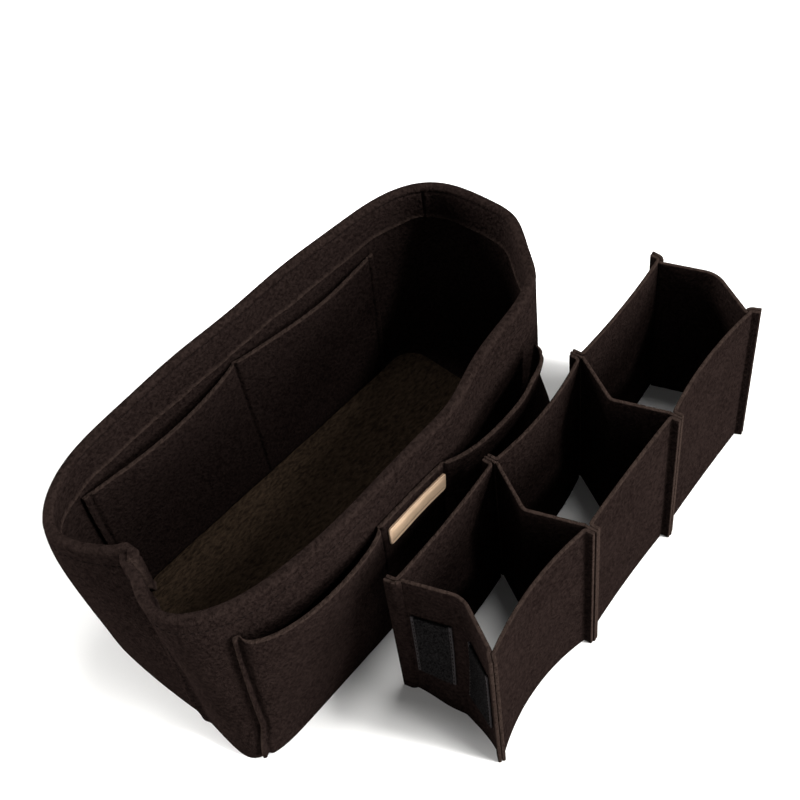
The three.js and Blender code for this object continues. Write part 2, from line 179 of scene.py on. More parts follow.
def new_piece(name: str, points: Array, faces: Sequence[Sequence[int]], raw: Array | None = None,
              uv: Array | None = None) -> Piece:
    """Makes a smooth mesh object at the origin, welds its doubles and turns its faces outwards.

    Args:
        name: The piece's name.
        points: Its points in millimetres, one row each.
        faces: Its faces as rows of point numbers.
        raw: For each point, 1 on a cut edge and 0 on a face of the felt.
        uv: For each point, its place on the flat cut in millimetres.

    Returns:
        The new object.
    """
    mesh = bpy.data.meshes.new(name)
    mesh.from_pydata(points * MM, [], faces, shade_flat=False)
    corners = np.zeros(len(mesh.loops), np.int32)
    mesh.loops.foreach_get("vertex_index", corners)
    if raw is not None:
        layer = mesh.attributes.new(EDGE_ATTRIBUTE, "FLOAT", "POINT")
        layer.data.foreach_set("value", raw.astype(np.float32).ravel())
    if uv is not None:
        flat = mesh.uv_layers.new(name=UV_NAME)
        flat.data.foreach_set("uv", (uv[corners] * MM).astype(np.float32).ravel())
    work = bmesh.new()
    work.from_mesh(mesh)
    bmesh.ops.remove_doubles(work, verts=work.verts, dist=WELD_M)
    bmesh.ops.dissolve_degenerate(work, dist=WELD_M, edges=work.edges)
    bmesh.ops.recalc_face_normals(work, faces=work.faces)
    work.to_mesh(mesh)
    work.free()
    piece = bpy.data.objects.new(name, mesh)
    bpy.context.scene.collection.objects.link(piece)
    return piece


def loft_faces(rings: int, sides: int) -> NDArray[np.int64]:
    """The four-sided faces between rings of points that follow one another, each ring closed on itself.

    Args:
        rings: How many rings there are.
        sides: How many points each ring has.

    Returns:
        Four point numbers for each face.
    """
    row = np.arange(rings - 1)[:, None] * sides
    this = np.arange(sides)[None, :]
    following = (this + 1) % sides
    corners = [row + this, row + following, row + sides + following, row + sides + this]
    return np.stack(corners, -1).reshape(-1, 4)


def loft(name: str, rings: Array, raw: Array, uv: Array, capped: bool = False) -> Piece:
    """A closed body through rings of points, shut at both ends.

    Args:
        name: The piece's name.
        rings: Points by ring and by place round the ring.
        raw: The cut edge value of each point.
        uv: The flat place of each point.
        capped: Shuts the ends with a face; otherwise the end rings are already drawn together.

    Returns:
        The new object.
    """
    count, sides = rings.shape[:2]
    faces = loft_faces(count, sides).tolist()
    if capped:
        faces.append(list(range(sides)))
        faces.append(list(range((count - 1) * sides, count * sides)))
    return new_piece(name, rings.reshape(-1, 3), faces, raw.reshape(-1), uv.reshape(-1, 2))


def sheet_loop(levels: Array, thickness: float, radius: float) -> tuple[Array, Array, Array]:
    """A closed loop round the cut of a felt sheet.

    It runs up the outer face at thickness share 0, over the top edge, down the inner face at share 1 and back
    under the bottom edge. Each edge is two quarter circles with a flat cut between them.

    Args:
        levels: Heights of the rows, from the bottom edge to the top edge.
        thickness: The sheet's thickness.
        radius: Radius of the worn edge.

    Returns:
        Height, thickness share and cut edge value of each point of the loop.
    """
    rise = radius * np.sin(QUARTER)
    inset = radius / thickness * (1.0 - np.cos(QUARTER))
    low, high = levels[0], levels[-1]
    rows = levels[(levels > low + radius * CLEAR_RADII) & (levels < high - radius * CLEAR_RADII)]
    height = [rows, high - radius + rise, (high - radius + rise)[::-1],
              rows[::-1], low + radius - rise, (low + radius - rise)[::-1]]
    share = [0.0 * rows, inset, 1.0 - inset[::-1], 0.0 * rows + 1.0, 1.0 - inset, inset[::-1]]
    worn = np.sin(QUARTER)
    raw = [0.0 * rows, worn, worn[::-1], 0.0 * rows, worn, worn[::-1]]
    return np.concatenate(height), np.concatenate(share), np.concatenate(raw)


def strip_rings(places: Array, thickness: float, radius: float) -> tuple[Array, Array, Array]:
    """The places of a felt strip's rings, with both ends worn round and drawn together.

    Args:
        places: Places along the strip.
        thickness: The strip's thickness.
        radius: Radius of the worn end.

    Returns:
        Place, share of the thickness kept and cut edge value of each ring.
    """
    inset = radius * (1.0 - np.sin(QUARTER))
    kept = 1.0 - 2.0 * radius / thickness * (1.0 - np.cos(QUARTER))
    start, end = places[0], places[-1]
    inner = places[(places > start + radius * CLEAR_RADII) & (places < end - radius * CLEAR_RADII)]
    place = np.concatenate([[start], (start + inset)[::-1], inner, end - inset, [end]])
    keep = np.concatenate([[0.0], kept[::-1], 0.0 * inner + 1.0, kept, [0.0]])
    worn = np.sin(QUARTER)
    raw = np.concatenate([[1.0], worn[::-1], 0.0 * inner, worn, [1.0]])
    return place, keep, raw


def felt_sheet(name: str, places: Array, levels: Array, thickness: float, radius: float,
               place: Placer) -> Piece:
    """A felt sheet with worn edges: the loop round its cut, carried along its places.

    Args:
        name: The piece's name.
        places: Places along the sheet.
        levels: Heights of its rows.
        thickness: Its thickness.
        radius: Radius of its worn edges.
        place: Turns place, height and thickness share into points in millimetres.

    Returns:
        The new object.
    """
    height, share, raw_loop = sheet_loop(levels, thickness, radius)
    along, keep, raw_end = strip_rings(places, thickness, radius)
    u, v = np.meshgrid(along, height, indexing="ij")
    w = 0.5 + (share - 0.5)[None, :] * keep[:, None]
    raw = np.maximum(raw_end[:, None], raw_loop[None, :])
    return loft(name, place(u, v, w), raw, np.stack([u, v], -1))


def pad(name: str, outline: Array, thickness: float, radius: float, rings: int, place: Placer) -> Piece:
    """A flat piece with a free outline and worn edges.

    The outline is drawn towards its middle in shares, on the lower face at thickness share 0 and on the upper
    face at share 1, and the two faces are joined by quarter circles.

    Args:
        name: The piece's name.
        outline: Closed outline, one row of two flat coordinates per point.
        thickness: The piece's thickness.
        radius: Radius of its worn edge.
        rings: Rings from the middle to the edge on each face.
        place: Turns two flat coordinates and the thickness share into points in millimetres.

    Returns:
        The new object.
    """
    middle = (outline.min(0) + outline.max(0)) / 2
    arm = outline - middle
    reach = np.linalg.norm(arm, axis=1, keepdims=True)
    worn = np.sin(QUARTER)
    shares = np.linspace(0.0, 1.0, rings + 1)[:-1] ** RING_POWER
    inset = np.concatenate([radius * (1.0 - worn), radius * (1.0 - worn)[::-1]])
    lift = radius / thickness * (1.0 - np.cos(QUARTER))
    edge = np.concatenate([lift, 1.0 - lift[::-1]])
    face = middle + arm[None] * (1.0 - radius / reach)[None] * shares[:, None, None]
    rim = middle + arm[None] * (1.0 - inset[:, None, None] / reach[None])
    flat = np.concatenate([face, rim, face[::-1]])
    w = np.concatenate([0.0 * shares, edge, 0.0 * shares + 1.0])
    raw = np.concatenate([0.0 * shares, worn, worn[::-1], 0.0 * shares])
    w = np.broadcast_to(w[:, None], flat.shape[:2])
    raw = np.broadcast_to(raw[:, None], flat.shape[:2])
    return loft(name, place(flat[..., 0], flat[..., 1], w), raw, flat)


def rounded_rectangle(half_x: float, half_y: float, corner: float, step: float) -> Array:
    """A closed rectangle with round corners about the origin, its straight runs split into steps.

    Args:
        half_x: Half its length.
        half_y: Half its width.
        corner: Radius of its corners.
        step: Spacing of the points on its straight runs.

    Returns:
        Its points, one row of two coordinates each.
    """
    turn = np.linspace(0.0, np.pi / 2, CORNER_POINTS)[:, None]
    arc = np.concatenate([np.cos(turn), np.sin(turn)], 1) * corner
    x, y = half_x - corner, half_y - corner
    quarter = [np.array([[1, 0], [0, 1]]), np.array([[0, -1], [1, 0]]), np.array([[-1, 0], [0, -1]]),
               np.array([[0, 1], [-1, 0]])]
    centres = np.array([[x, y], [-x, y], [-x, -y], [x, -y]])
    corners = [arc @ q.T + c for q, c in zip(quarter, centres)]
    parts: list[Array] = []
    for this, following in zip(corners, corners[1:] + corners[:1]):
        count = max(1, int(np.linalg.norm(following[0] - this[-1]) / step))
        share = np.linspace(0.0, 1.0, count + 1)[1:-1, None]
        parts += [this, this[-1] + share * (following[0] - this[-1])]
    return np.concatenate(parts)


@dataclass(frozen=True)
class Thread:
    """Sewing thread laid as single stitches."""

    length: float = 2.5
    pitch: float = 3.3
    thickness: float = 0.45
    stand: float = 0.12
    sides: int = 6
    rings: int = 5

    def row(self, path: Array, normals: Array) -> Array:
        """Stitches along a path, as rings of points.

        Each stitch is an oval bead whose ends dive into the felt. Its middle stands off by the stand, and it
        falls with the square of the distance from there.

        Args:
            path: Points of the sewn line, close together.
            normals: The way out of the felt at each point.

        Returns:
            Points by stitch, by ring and by place round the ring.
        """
        gone = lengths_along(path)
        centres = np.arange(self.pitch / 2, gone[-1] - self.length / 2, self.pitch)
        share = np.linspace(-1.0, 1.0, self.rings)
        at = np.clip(centres[:, None] + share[None, :] * self.length / 2, 0.0, gone[-1])
        spine = np.stack([np.interp(at, gone, path[:, i]) for i in range(3)], -1)
        out = np.stack([np.interp(at, gone, normals[:, i]) for i in range(3)], -1)
        along = unit(spine[:, -1:] - spine[:, :1])
        out = unit(out)
        across = np.cross(np.broadcast_to(along, out.shape), out)
        radius = self.thickness / 2 * np.sqrt(np.clip(1.0 - share**4, 0.0, 1.0))
        lift = self.stand - (self.stand + self.thickness / 2) * share**2
        angle = np.linspace(0.0, 2.0 * np.pi, self.sides, endpoint=False)
        ring = (np.cos(angle)[None, :, None] * across[:, :, None, :]
                + np.sin(angle)[None, :, None] * out[:, :, None, :])
        return (spine + out * lift[None, :, None])[:, :, None, :] + ring * radius[None, :, None, None]

    def piece(self, name: str, rows: Sequence[tuple[Array, Array]]) -> Piece:
        """One piece with the stitches of several sewn lines.

        Args:
            name: The piece's name.
            rows: Path and normals of each line.

        Returns:
            The new object.
        """
        beads = np.concatenate([self.row(path, normals) for path, normals in rows])
        single = loft_faces(self.rings, self.sides)
        step = self.rings * self.sides
        faces = (single[None] + (np.arange(len(beads)) * step)[:, None, None]).reshape(-1, 4)
        return new_piece(name, beads.reshape(-1, 3), faces.tolist())


SEWING = Thread()

# Finishes


def linear(code: str) -> tuple[float, float, float, float]:
    """The linear colour of an sRGB hex code.

    Args:
        code: A hash mark and six hex digits.

    Returns:
        Red, green and blue from 0 to 1, and an alpha of 1.
    """
    value = np.array([int(code[i:i + 2], 16) for i in (1, 3, 5)]) / 255.0
    low, high = value / 12.92, ((value + 0.055) / 1.055) ** 2.4
    return (*np.where(value <= 0.04045, low, high).tolist(), 1.0)


def add_node(tree: bpy.types.NodeTree, kind: str, inputs: dict[str | int, object] | None = None,
             **settings: object) -> bpy.types.Node:
    """Adds a node, sets its properties and links or sets its inputs.

    Args:
        tree: The material's node tree.
        kind: The node's type name.
        inputs: Input name or number to a socket, which is linked, or a value, which is set.
        **settings: The node's own properties.

    Returns:
        The new node.
    """
    node = tree.nodes.new(kind)
    for name, value in settings.items():
        setattr(node, name, value)
    for name, value in (inputs or {}).items():
        if isinstance(value, bpy.types.NodeSocket):
            tree.links.new(value, node.inputs[name])
        else:
            node.inputs[name].default_value = value
    return node


def calc(tree: bpy.types.NodeTree, operation: str, *values: Input) -> bpy.types.NodeSocket:
    """The result of a sum on up to three sockets or numbers."""
    return add_node(tree, "ShaderNodeMath", dict(enumerate(values)), operation=operation).outputs[0]


def remap(tree: bpy.types.NodeTree, value: Input, low: float, high: float, start: float = 0.0,
          end: float = 1.0) -> bpy.types.NodeSocket:
    """A value whose range from low to high becomes the range from start to end, and stays within it."""
    return add_node(tree, "ShaderNodeMapRange", {
        "Value": value, "From Min": low, "From Max": high, "To Min": start, "To Max": end}).outputs[0]


def mixed(tree: bpy.types.NodeTree, share: Input, *ends: Input | str) -> bpy.types.NodeSocket:
    """Two colours, each a socket or an sRGB hex code, mixed by a share."""
    first, second = (linear(end) if isinstance(end, str) else end for end in ends)
    return add_node(tree, "ShaderNodeMix", {0: share, 6: first, 7: second}, data_type="RGBA").outputs[2]


def noise(tree: bpy.types.NodeTree, place: Input, size: float, detail: float,
          **more: float) -> bpy.types.NodeSocket:
    """Noise at a place, with forms of about a size in millimetres."""
    return add_node(tree, "ShaderNodeTexNoise", {
        "Vector": place, "Scale": 1.0 / (size * MM), "Detail": detail, **more}).outputs["Fac"]


def surface(tree: bpy.types.NodeTree, colour: Input, height: Input, strength: float, relief: float,
            roughness: float, specular: float) -> None:
    """Ends a finish's nodes with its shader.

    Args:
        tree: The material's node tree.
        colour: The surface's colour.
        height: What raises the surface.
        strength: How strongly the height turns the light.
        relief: How far a height of 1 stands out, in millimetres.
        roughness: The shader's roughness.
        specular: The shader's specular level.
    """
    raised = add_node(tree, "ShaderNodeBump", {
        "Strength": strength, "Distance": relief * MM, "Height": height})
    shader = add_node(tree, "ShaderNodeBsdfPrincipled", {
        "Base Color": colour, "Roughness": roughness, "Specular IOR Level": specular,
        "Normal": raised.outputs[0]})
    add_node(tree, "ShaderNodeOutputMaterial", {"Surface": shader.outputs[0]})


def blank_material(name: str) -> tuple[bpy.types.Material, bpy.types.NodeTree]:
    """A new material with an empty node tree.

    Args:
        name: The material's name.

    Returns:
        The material and its tree.
    """
    material = bpy.data.materials.new(name)
    material.use_nodes = True
    material.node_tree.nodes.clear()
    return material, material.node_tree


@dataclass(frozen=True)
class Finish:
    """A real material's look, drawn with its own nodes."""

    name: str

    def draw(self, tree: bpy.types.NodeTree) -> None:
        """Adds the finish's nodes to an empty tree."""
        raise NotImplementedError

    def material(self) -> bpy.types.Material:
        """The finish's material, made once.

        Returns:
            The material with the finish's nodes.
        """
        known = bpy.data.materials.get(self.name)
        if known:
            return known
        material, tree = blank_material(self.name)
        self.draw(tree)
        return material


@dataclass(frozen=True)
class FeltFinish(Finish):
    """Needled wool felt: matte, with a fine grain, tangled fibres, faint clouds and a painted highlight on
    cut edges.

    The grain, fibre and cloud are sizes in millimetres, and the relief is a height in millimetres.
    """

    deep: str
    light: str
    # The cut colour is paler than the felt: a painted highlight on cut edges.
    cut: str
    grain: float = 1.9
    fibre: float = 3.2
    cloud: float = 30.0
    relief: float = 0.6
    stretch: tuple[float, float, float] = (1.0, 1.0, 1.0)
    fibre_width: float = 0.08
    fibre_share: float = 0.3
    cloud_share: float = 0.5
    least_edge_highlight: float = 0.4

    def draw(self, tree: bpy.types.NodeTree) -> None:
        """Mixes the felt's two colours by grain, fibres and clouds, and lays the paler cut colour, a painted
        highlight, on cut edges.

        The fibres are winding lines where a coarse noise passes its middle value. Grain and fibres raise the
        surface.

        Args:
            tree: The material's node tree.
        """
        place = add_node(tree, "ShaderNodeTexCoord").outputs["Object"]
        laid = add_node(tree, "ShaderNodeMapping", {"Vector": place, "Scale": self.stretch}).outputs[0]
        grain = noise(tree, laid, self.grain, 2.0, Roughness=0.6)
        strand = noise(tree, laid, self.fibre, 1.0, Distortion=0.6)
        cloud = noise(tree, place, self.cloud, 2.0)
        off_middle = calc(tree, "ABSOLUTE", calc(tree, "SUBTRACT", strand, 0.5))
        line = remap(tree, off_middle, 0.0, self.fibre_width, 1.0, 0.0)
        fuzz = calc(tree, "MULTIPLY_ADD", line, self.fibre_share, remap(tree, grain, 0.3, 0.7))
        tone = remap(tree, calc(tree, "MULTIPLY_ADD", cloud, self.cloud_share, fuzz), 0.3, 1.3)
        # The cut colour paints a highlight on cut edges, broken up by the fuzz.
        edge = add_node(tree, "ShaderNodeAttribute", attribute_name=EDGE_ATTRIBUTE).outputs["Fac"]
        edge_highlight = calc(tree, "MULTIPLY", edge, remap(tree, fuzz, 0.0, 1.0, self.least_edge_highlight, 1.0))
        colour = mixed(tree, edge_highlight, mixed(tree, tone, self.deep, self.light), self.cut)
        surface(tree, colour, fuzz, 0.8, self.relief, roughness=0.96, specular=0.0)


@dataclass(frozen=True)
class LeatherFinish(Finish):
    """Smooth split leather with a satin face, a fine pebble grain and a pressed line along its edges.

    The grain, cloud and the line's place and width are in millimetres.
    """

    pale: str
    warm: str
    edge: str
    grain: float = 0.7
    cloud: float = 4.0
    relief: float = 0.12
    line_from_middle: float = 4.8
    line_width: float = 0.5
    line_dark: float = 0.75
    line_depth: float = -2.0

    def draw(self, tree: bpy.types.NodeTree) -> None:
        """Mixes the two leather colours by clouds, raises a grain and darkens a line along both long edges.

        The line lies at a fixed distance from the label's middle line, and is pressed in.

        Args:
            tree: The material's node tree.
        """
        flat = add_node(tree, "ShaderNodeUVMap", uv_map=UV_NAME).outputs[0]
        place = add_node(tree, "ShaderNodeTexCoord").outputs["Object"]
        cloud = noise(tree, place, self.cloud, 4.0)
        grain = add_node(tree, "ShaderNodeTexVoronoi", {"Vector": place, "Scale": 1.0 / (self.grain * MM)})
        hide = mixed(tree, remap(tree, cloud, 0.35, 0.65), self.warm, self.pale)
        across = calc(tree, "ABSOLUTE", add_node(tree, "ShaderNodeSeparateXYZ", {0: flat}).outputs[1])
        off_line = calc(tree, "ABSOLUTE", calc(tree, "SUBTRACT", across, self.line_from_middle * MM))
        line = remap(tree, off_line, 0.0, self.line_width * MM, self.line_dark, 0.0)
        cut = add_node(tree, "ShaderNodeAttribute", attribute_name=EDGE_ATTRIBUTE).outputs["Fac"]
        colour = mixed(tree, calc(tree, "MAXIMUM", line, cut), hide, self.edge)
        height = calc(tree, "MULTIPLY_ADD", line, self.line_depth, grain.outputs["Distance"])
        surface(tree, colour, height, 0.5, self.relief, roughness=0.5, specular=0.45)


@dataclass(frozen=True)
class YarnFinish(Finish):
    """Spun or woven yarn in two close tones, with a twist or weave that repeats along it, in millimetres."""

    deep: str
    light: str
    repeat: float = 0.6
    roughness: float = 0.7
    relief: float = 0.2

    def draw(self, tree: bpy.types.NodeTree) -> None:
        """Mixes the yarn's two tones by noise at its repeat, which also raises its surface.

        Args:
            tree: The material's node tree.
        """
        place = add_node(tree, "ShaderNodeTexCoord").outputs["Object"]
        twist = noise(tree, place, self.repeat, 2.0)
        colour = mixed(tree, remap(tree, twist, 0.35, 0.65), self.deep, self.light)
        surface(tree, colour, twist, 0.6, self.relief, self.roughness, specular=0.0)


# Wool felt, needled, pressed and dyed a warm black: no gloss, an even grain of tangled fibres, and a paler
# cut colour that paints
# # the highlight on cut edges. Real fibres are about 0.03 mm thick. They are drawn coarser here, so that they
# show.
BLACK_FELT = FeltFinish("black_wool_felt", "#0e0908", "#1d1614", "#2d2420")
# Needled felt board, thicker and looser than the wall's felt: combed hairs along its length catch the light
# as streaks. The hairs are drawn as coarse as the felt's grain.
# Its paler cut colour paints the highlight on the board's cut edges.
BOARD_FELT = FeltFinish("brown_needled_board_felt", "#19130e", "#31271e", "#3a2f25", grain=1.5, fibre=2.4,
                        cloud=20.0, relief=0.7, stretch=(0.45, 1.0, 1.0))
# Tan split leather with a pressed satin coat: the only pale piece, softly clouded, with a fine pebble and two
# lines pressed along it.
LABEL_LEATHER = LeatherFinish("tan_satin_leather", "#d2b395", "#c6a98c", "#7a6450")
# Knitted nylon pile, brushed into loops: neutral black and speckled, since light sinks in between the loops.
LOOP_YARN = YarnFinish("black_loop_pile", "#0a0909", "#1f1e1e", repeat=0.8, roughness=0.85)
# Moulded nylon hooks in rows: neutral black and dull.
HOOK_YARN = YarnFinish("black_hook_nylon", "#0a0909", "#1c1b1b", repeat=0.7, roughness=0.55)
# Tightly woven nylon tape edge: flat and a little paler than the pile.
SELVEDGE_YARN = YarnFinish("black_woven_selvedge", "#252323", "#343132", repeat=0.5, roughness=0.6)
# Spun polyester sewing thread, dyed to match the felt: it shows as fine beads and no colour of its own.
BLACK_THREAD = YarnFinish("black_sewing_thread", "#0c0908", "#171211", repeat=0.4, roughness=0.7)


def dress(piece: Piece, finish: Finish) -> Piece:
    """Gives a piece its finish."""
    piece.data.materials.append(finish.material())
    return piece


def carry(pieces: Sequence[Piece], body: str) -> None:
    """Says which body carries some pieces.

    Args:
        pieces: The pieces.
        body: The frame's body that they ride on.
    """
    for piece in pieces:
        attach(piece, body)


# Tub


@dataclass
class TubCourse:
    """The tub wall's course: rings of superellipses that flare from the floor to the rim.

    A place on the wall is a run along the rim from the near end seam, first along the front, a height, and a
    depth inwards from the outer face.
    """

    height: float = 125.0
    floor_length: float = 263.0
    floor_width: float = 124.0
    floor_squareness: float = 8.0
    rim_near_reach: float = 145.0
    rim_far_reach: float = 138.0
    rim_width: float = 139.6
    rim_shift_front: float = 3.2
    squareness_near_front: float = 2.85
    squareness_near_back: float = 3.65
    squareness_far_front: float = 5.4
    squareness_far_back: float = 4.2
    squareness_rise: float = 1.5
    squareness_rise_near_front: float = 0.5
    dent_rim: float = 23.0
    dent_floor: float = 2.4
    dent_half_width: float = 44.0
    dent_sharpness: float = 1.7
    seam_y_rim: float = -1.7
    seam_y_floor: float = -22.0
    seam_slant_share: float = 0.06
    taper_floor: float = 0.2
    taper_rim: float = 0.28
    lean_floor: float = 8.0
    lean_in: float = 20.0
    lean_angle: float = np.radians(-22.5)
    lean_to_front_floor: float = np.radians(28.0)
    lean_to_front: float = np.radians(52.0)
    lean_to_end: float = np.radians(27.0)
    lean_full: float = 60.0
    lean_spread: float = 95.0
    corner_foot: float = 6.0
    corner_foot_height: float = 24.0
    ripple: float = 0.45
    ripple_length: float = 70.0
    ripple_count: int = 7
    ripple_seed: int = 11
    ripple_from: float = 4.0
    ripple_full: float = 40.0
    measured_at: int = 6001
    beside: float = 0.6
    seam_clear: float = 1e-6
    back_shares: tuple[float, float] = (0.55, 0.97)
    back_points: int = 2000
    rim_run: float = field(init=False)

    def __post_init__(self) -> None:
        """Measures the rim, so that runs along it can be turned into shares of the ring."""
        self._shares = np.linspace(0.0, 1.0, self.measured_at)
        self._lengths = lengths_along(self.ring(self._shares, np.full(self.measured_at, self.height)))
        self.rim_run = float(self._lengths[-1])

    def _reaches(self, z: Array) -> tuple[Array, Array, Array, Array]:
        """How far the plain ring reaches at a height.

        Args:
            z: Heights.

        Returns:
            Share of the height, near reach, far reach and half width.
        """
        share = np.clip(z / self.height, 0.0, 1.0)
        near = lerp(self.floor_length / 2, self.rim_near_reach, share)
        far = lerp(self.floor_length / 2, self.rim_far_reach, share)
        return share, near, far, lerp(self.floor_width, self.rim_width, share) / 2

    def start(self, z: Array) -> Array:
        """The angle at which the near end seam crosses the ring of a height.

        Args:
            z: Heights.

        Returns:
            Angles about the middle.
        """
        share, near, _, _ = self._reaches(z)
        y = lerp(self.seam_y_floor, self.seam_y_rim, share) + self.rim_shift_front * share
        return np.pi - np.arctan(y / near)

    def plain_radius(self, angle: Array, z: Array) -> Array:
        """Distance from the middle, where x and y over their reaches, each to the squareness, add up to 1.

        Args:
            angle: Angles about the middle.
            z: Heights.

        Returns:
            The distances. The near front corner is squarer still at its foot.
        """
        share, near, far, half = self._reaches(z)
        c, s = np.cos(angle), np.sin(angle)
        rim = np.where(c < 0, np.where(s < 0, self.squareness_near_front, self.squareness_near_back),
                       np.where(s < 0, self.squareness_far_front, self.squareness_far_back))
        rise = np.where((c < 0) & (s < 0), self.squareness_rise_near_front, self.squareness_rise)
        n = lerp(self.floor_squareness, rim, share**rise)
        foot = self.corner_foot * (1.0 - smoothstep(z, 0.0, self.corner_foot_height))
        n = n + np.where((c < 0) & (s < 0), foot, 0.0)
        x = np.abs(c / np.where(c < 0, near, far)) ** n
        return (x + np.abs(s / half) ** n) ** (-1.0 / n)

    def ring(self, t: Array, z: Array) -> Array:
        """Points of the outer face at shares of the ring of a height.

        The plain radius is drawn in at the far front corner by a squared cosine, the near end is drawn in at
        the seam by a dent whose sides fall to a power, and the front narrows evenly towards the far end.

        Args:
            t: Shares of the turn from the seam.
            z: Heights.

        Returns:
            Plan points.
        """
        share, near, far, _ = self._reaches(z)
        start = self.start(z)
        angle = start + 2.0 * np.pi * t
        c, s = np.cos(angle), np.sin(angle)
        past = np.arctan2(s, c) - self.lean_angle
        to_front = lerp(self.lean_to_front_floor, self.lean_to_front, smoothstep(z, 0.0, self.lean_spread))
        faded = np.clip(np.where(past > 0, past / self.lean_to_end, -past / to_front), 0.0, 1.0)
        lean = lerp(self.lean_floor, self.lean_in, smoothstep(z, 0.0, self.lean_full))
        radius = self.plain_radius(angle, z) - lean * np.cos(faded * np.pi / 2) ** 2
        x, y = radius * c, radius * s
        seam_y = self.plain_radius(start, z) * np.sin(start)
        beside = np.clip(1.0 - np.abs(y - seam_y) / self.dent_half_width, 0.0, 1.0)
        drawn = np.where(c < 0, beside**self.dent_sharpness, 0.0)
        dent = lerp(self.dent_floor, self.dent_rim, share)
        taper = lerp(self.taper_floor, self.taper_rim, share)
        y = np.where(y < 0, y * (1.0 - taper * (x + near) / (near + far)), y)
        return np.stack([x + dent * drawn, y - self.rim_shift_front * share], -1)

    def plan(self, run: Array, z: Array) -> Array:
        """Plan points of the outer face. By the slanting seam the lower rings are shifted against the rim.

        Args:
            run: Runs along the rim from the seam.
            z: Heights.

        Returns:
            Plan points.
        """
        turns = np.floor(run / self.rim_run)
        on_rim = np.interp(run - turns * self.rim_run, self._lengths, self._shares)
        clear = np.minimum(1.0, np.minimum(on_rim, 1.0 - on_rim) / self.seam_slant_share)
        shift = (self.start(z) - self.start(np.full_like(z, self.height))) / (2.0 * np.pi)
        return self.ring(np.clip(on_rim - clear * shift, 0.0, 1.0), z)

    def point(self, run: Array, z: Array, depth: Array | float) -> Array:
        """Points at a run, a height and a depth; the felt's soft ripple is added to the depth.

        Args:
            run: Runs along the rim from the seam.
            z: Heights.
            depth: Depths inwards from the outer face, or outwards below zero.

        Returns:
            Points in millimetres.
        """
        run, z = np.broadcast_arrays(np.asarray(run, float), np.asarray(z, float))
        turns = np.floor(run / self.rim_run)
        low = turns * self.rim_run + self.seam_clear
        high = low + self.rim_run - 2 * self.seam_clear
        ahead = self.plan(np.clip(run + self.beside, low, high), z)
        along = unit(ahead - self.plan(np.clip(run - self.beside, low, high), z))
        inward = np.stack([-along[..., 1], along[..., 0]], -1)
        soft = self.ripple * waves(run, z, self.ripple_length, self.ripple_count, self.ripple_seed)
        soft = soft * smoothstep(z, self.ripple_from, self.ripple_full)
        flat = self.plan(np.clip(run, low, high), z) + inward * (np.asarray(depth) + soft)[..., None]
        return np.concatenate([flat, z[..., None]], -1)

    def out(self, run: Array, z: Array) -> Array:
        """The way out of the wall at a run and a height."""
        return unit(self.point(run, z, -1.0) - self.point(run, z, 0.0))

    def back_run_at(self, x: float) -> float:
        """The run at which the back wall passes an x, halfway up.

        Args:
            x: The x in the shared frame.

        Returns:
            The run along the rim from the seam.
        """
        first, last = self.back_shares
        runs = np.linspace(self.rim_run * first, self.rim_run * last, self.back_points)
        at = self.plan(runs, np.full_like(runs, self.height / 2))[:, 0]
        return float(np.interp(-x, -at, runs))


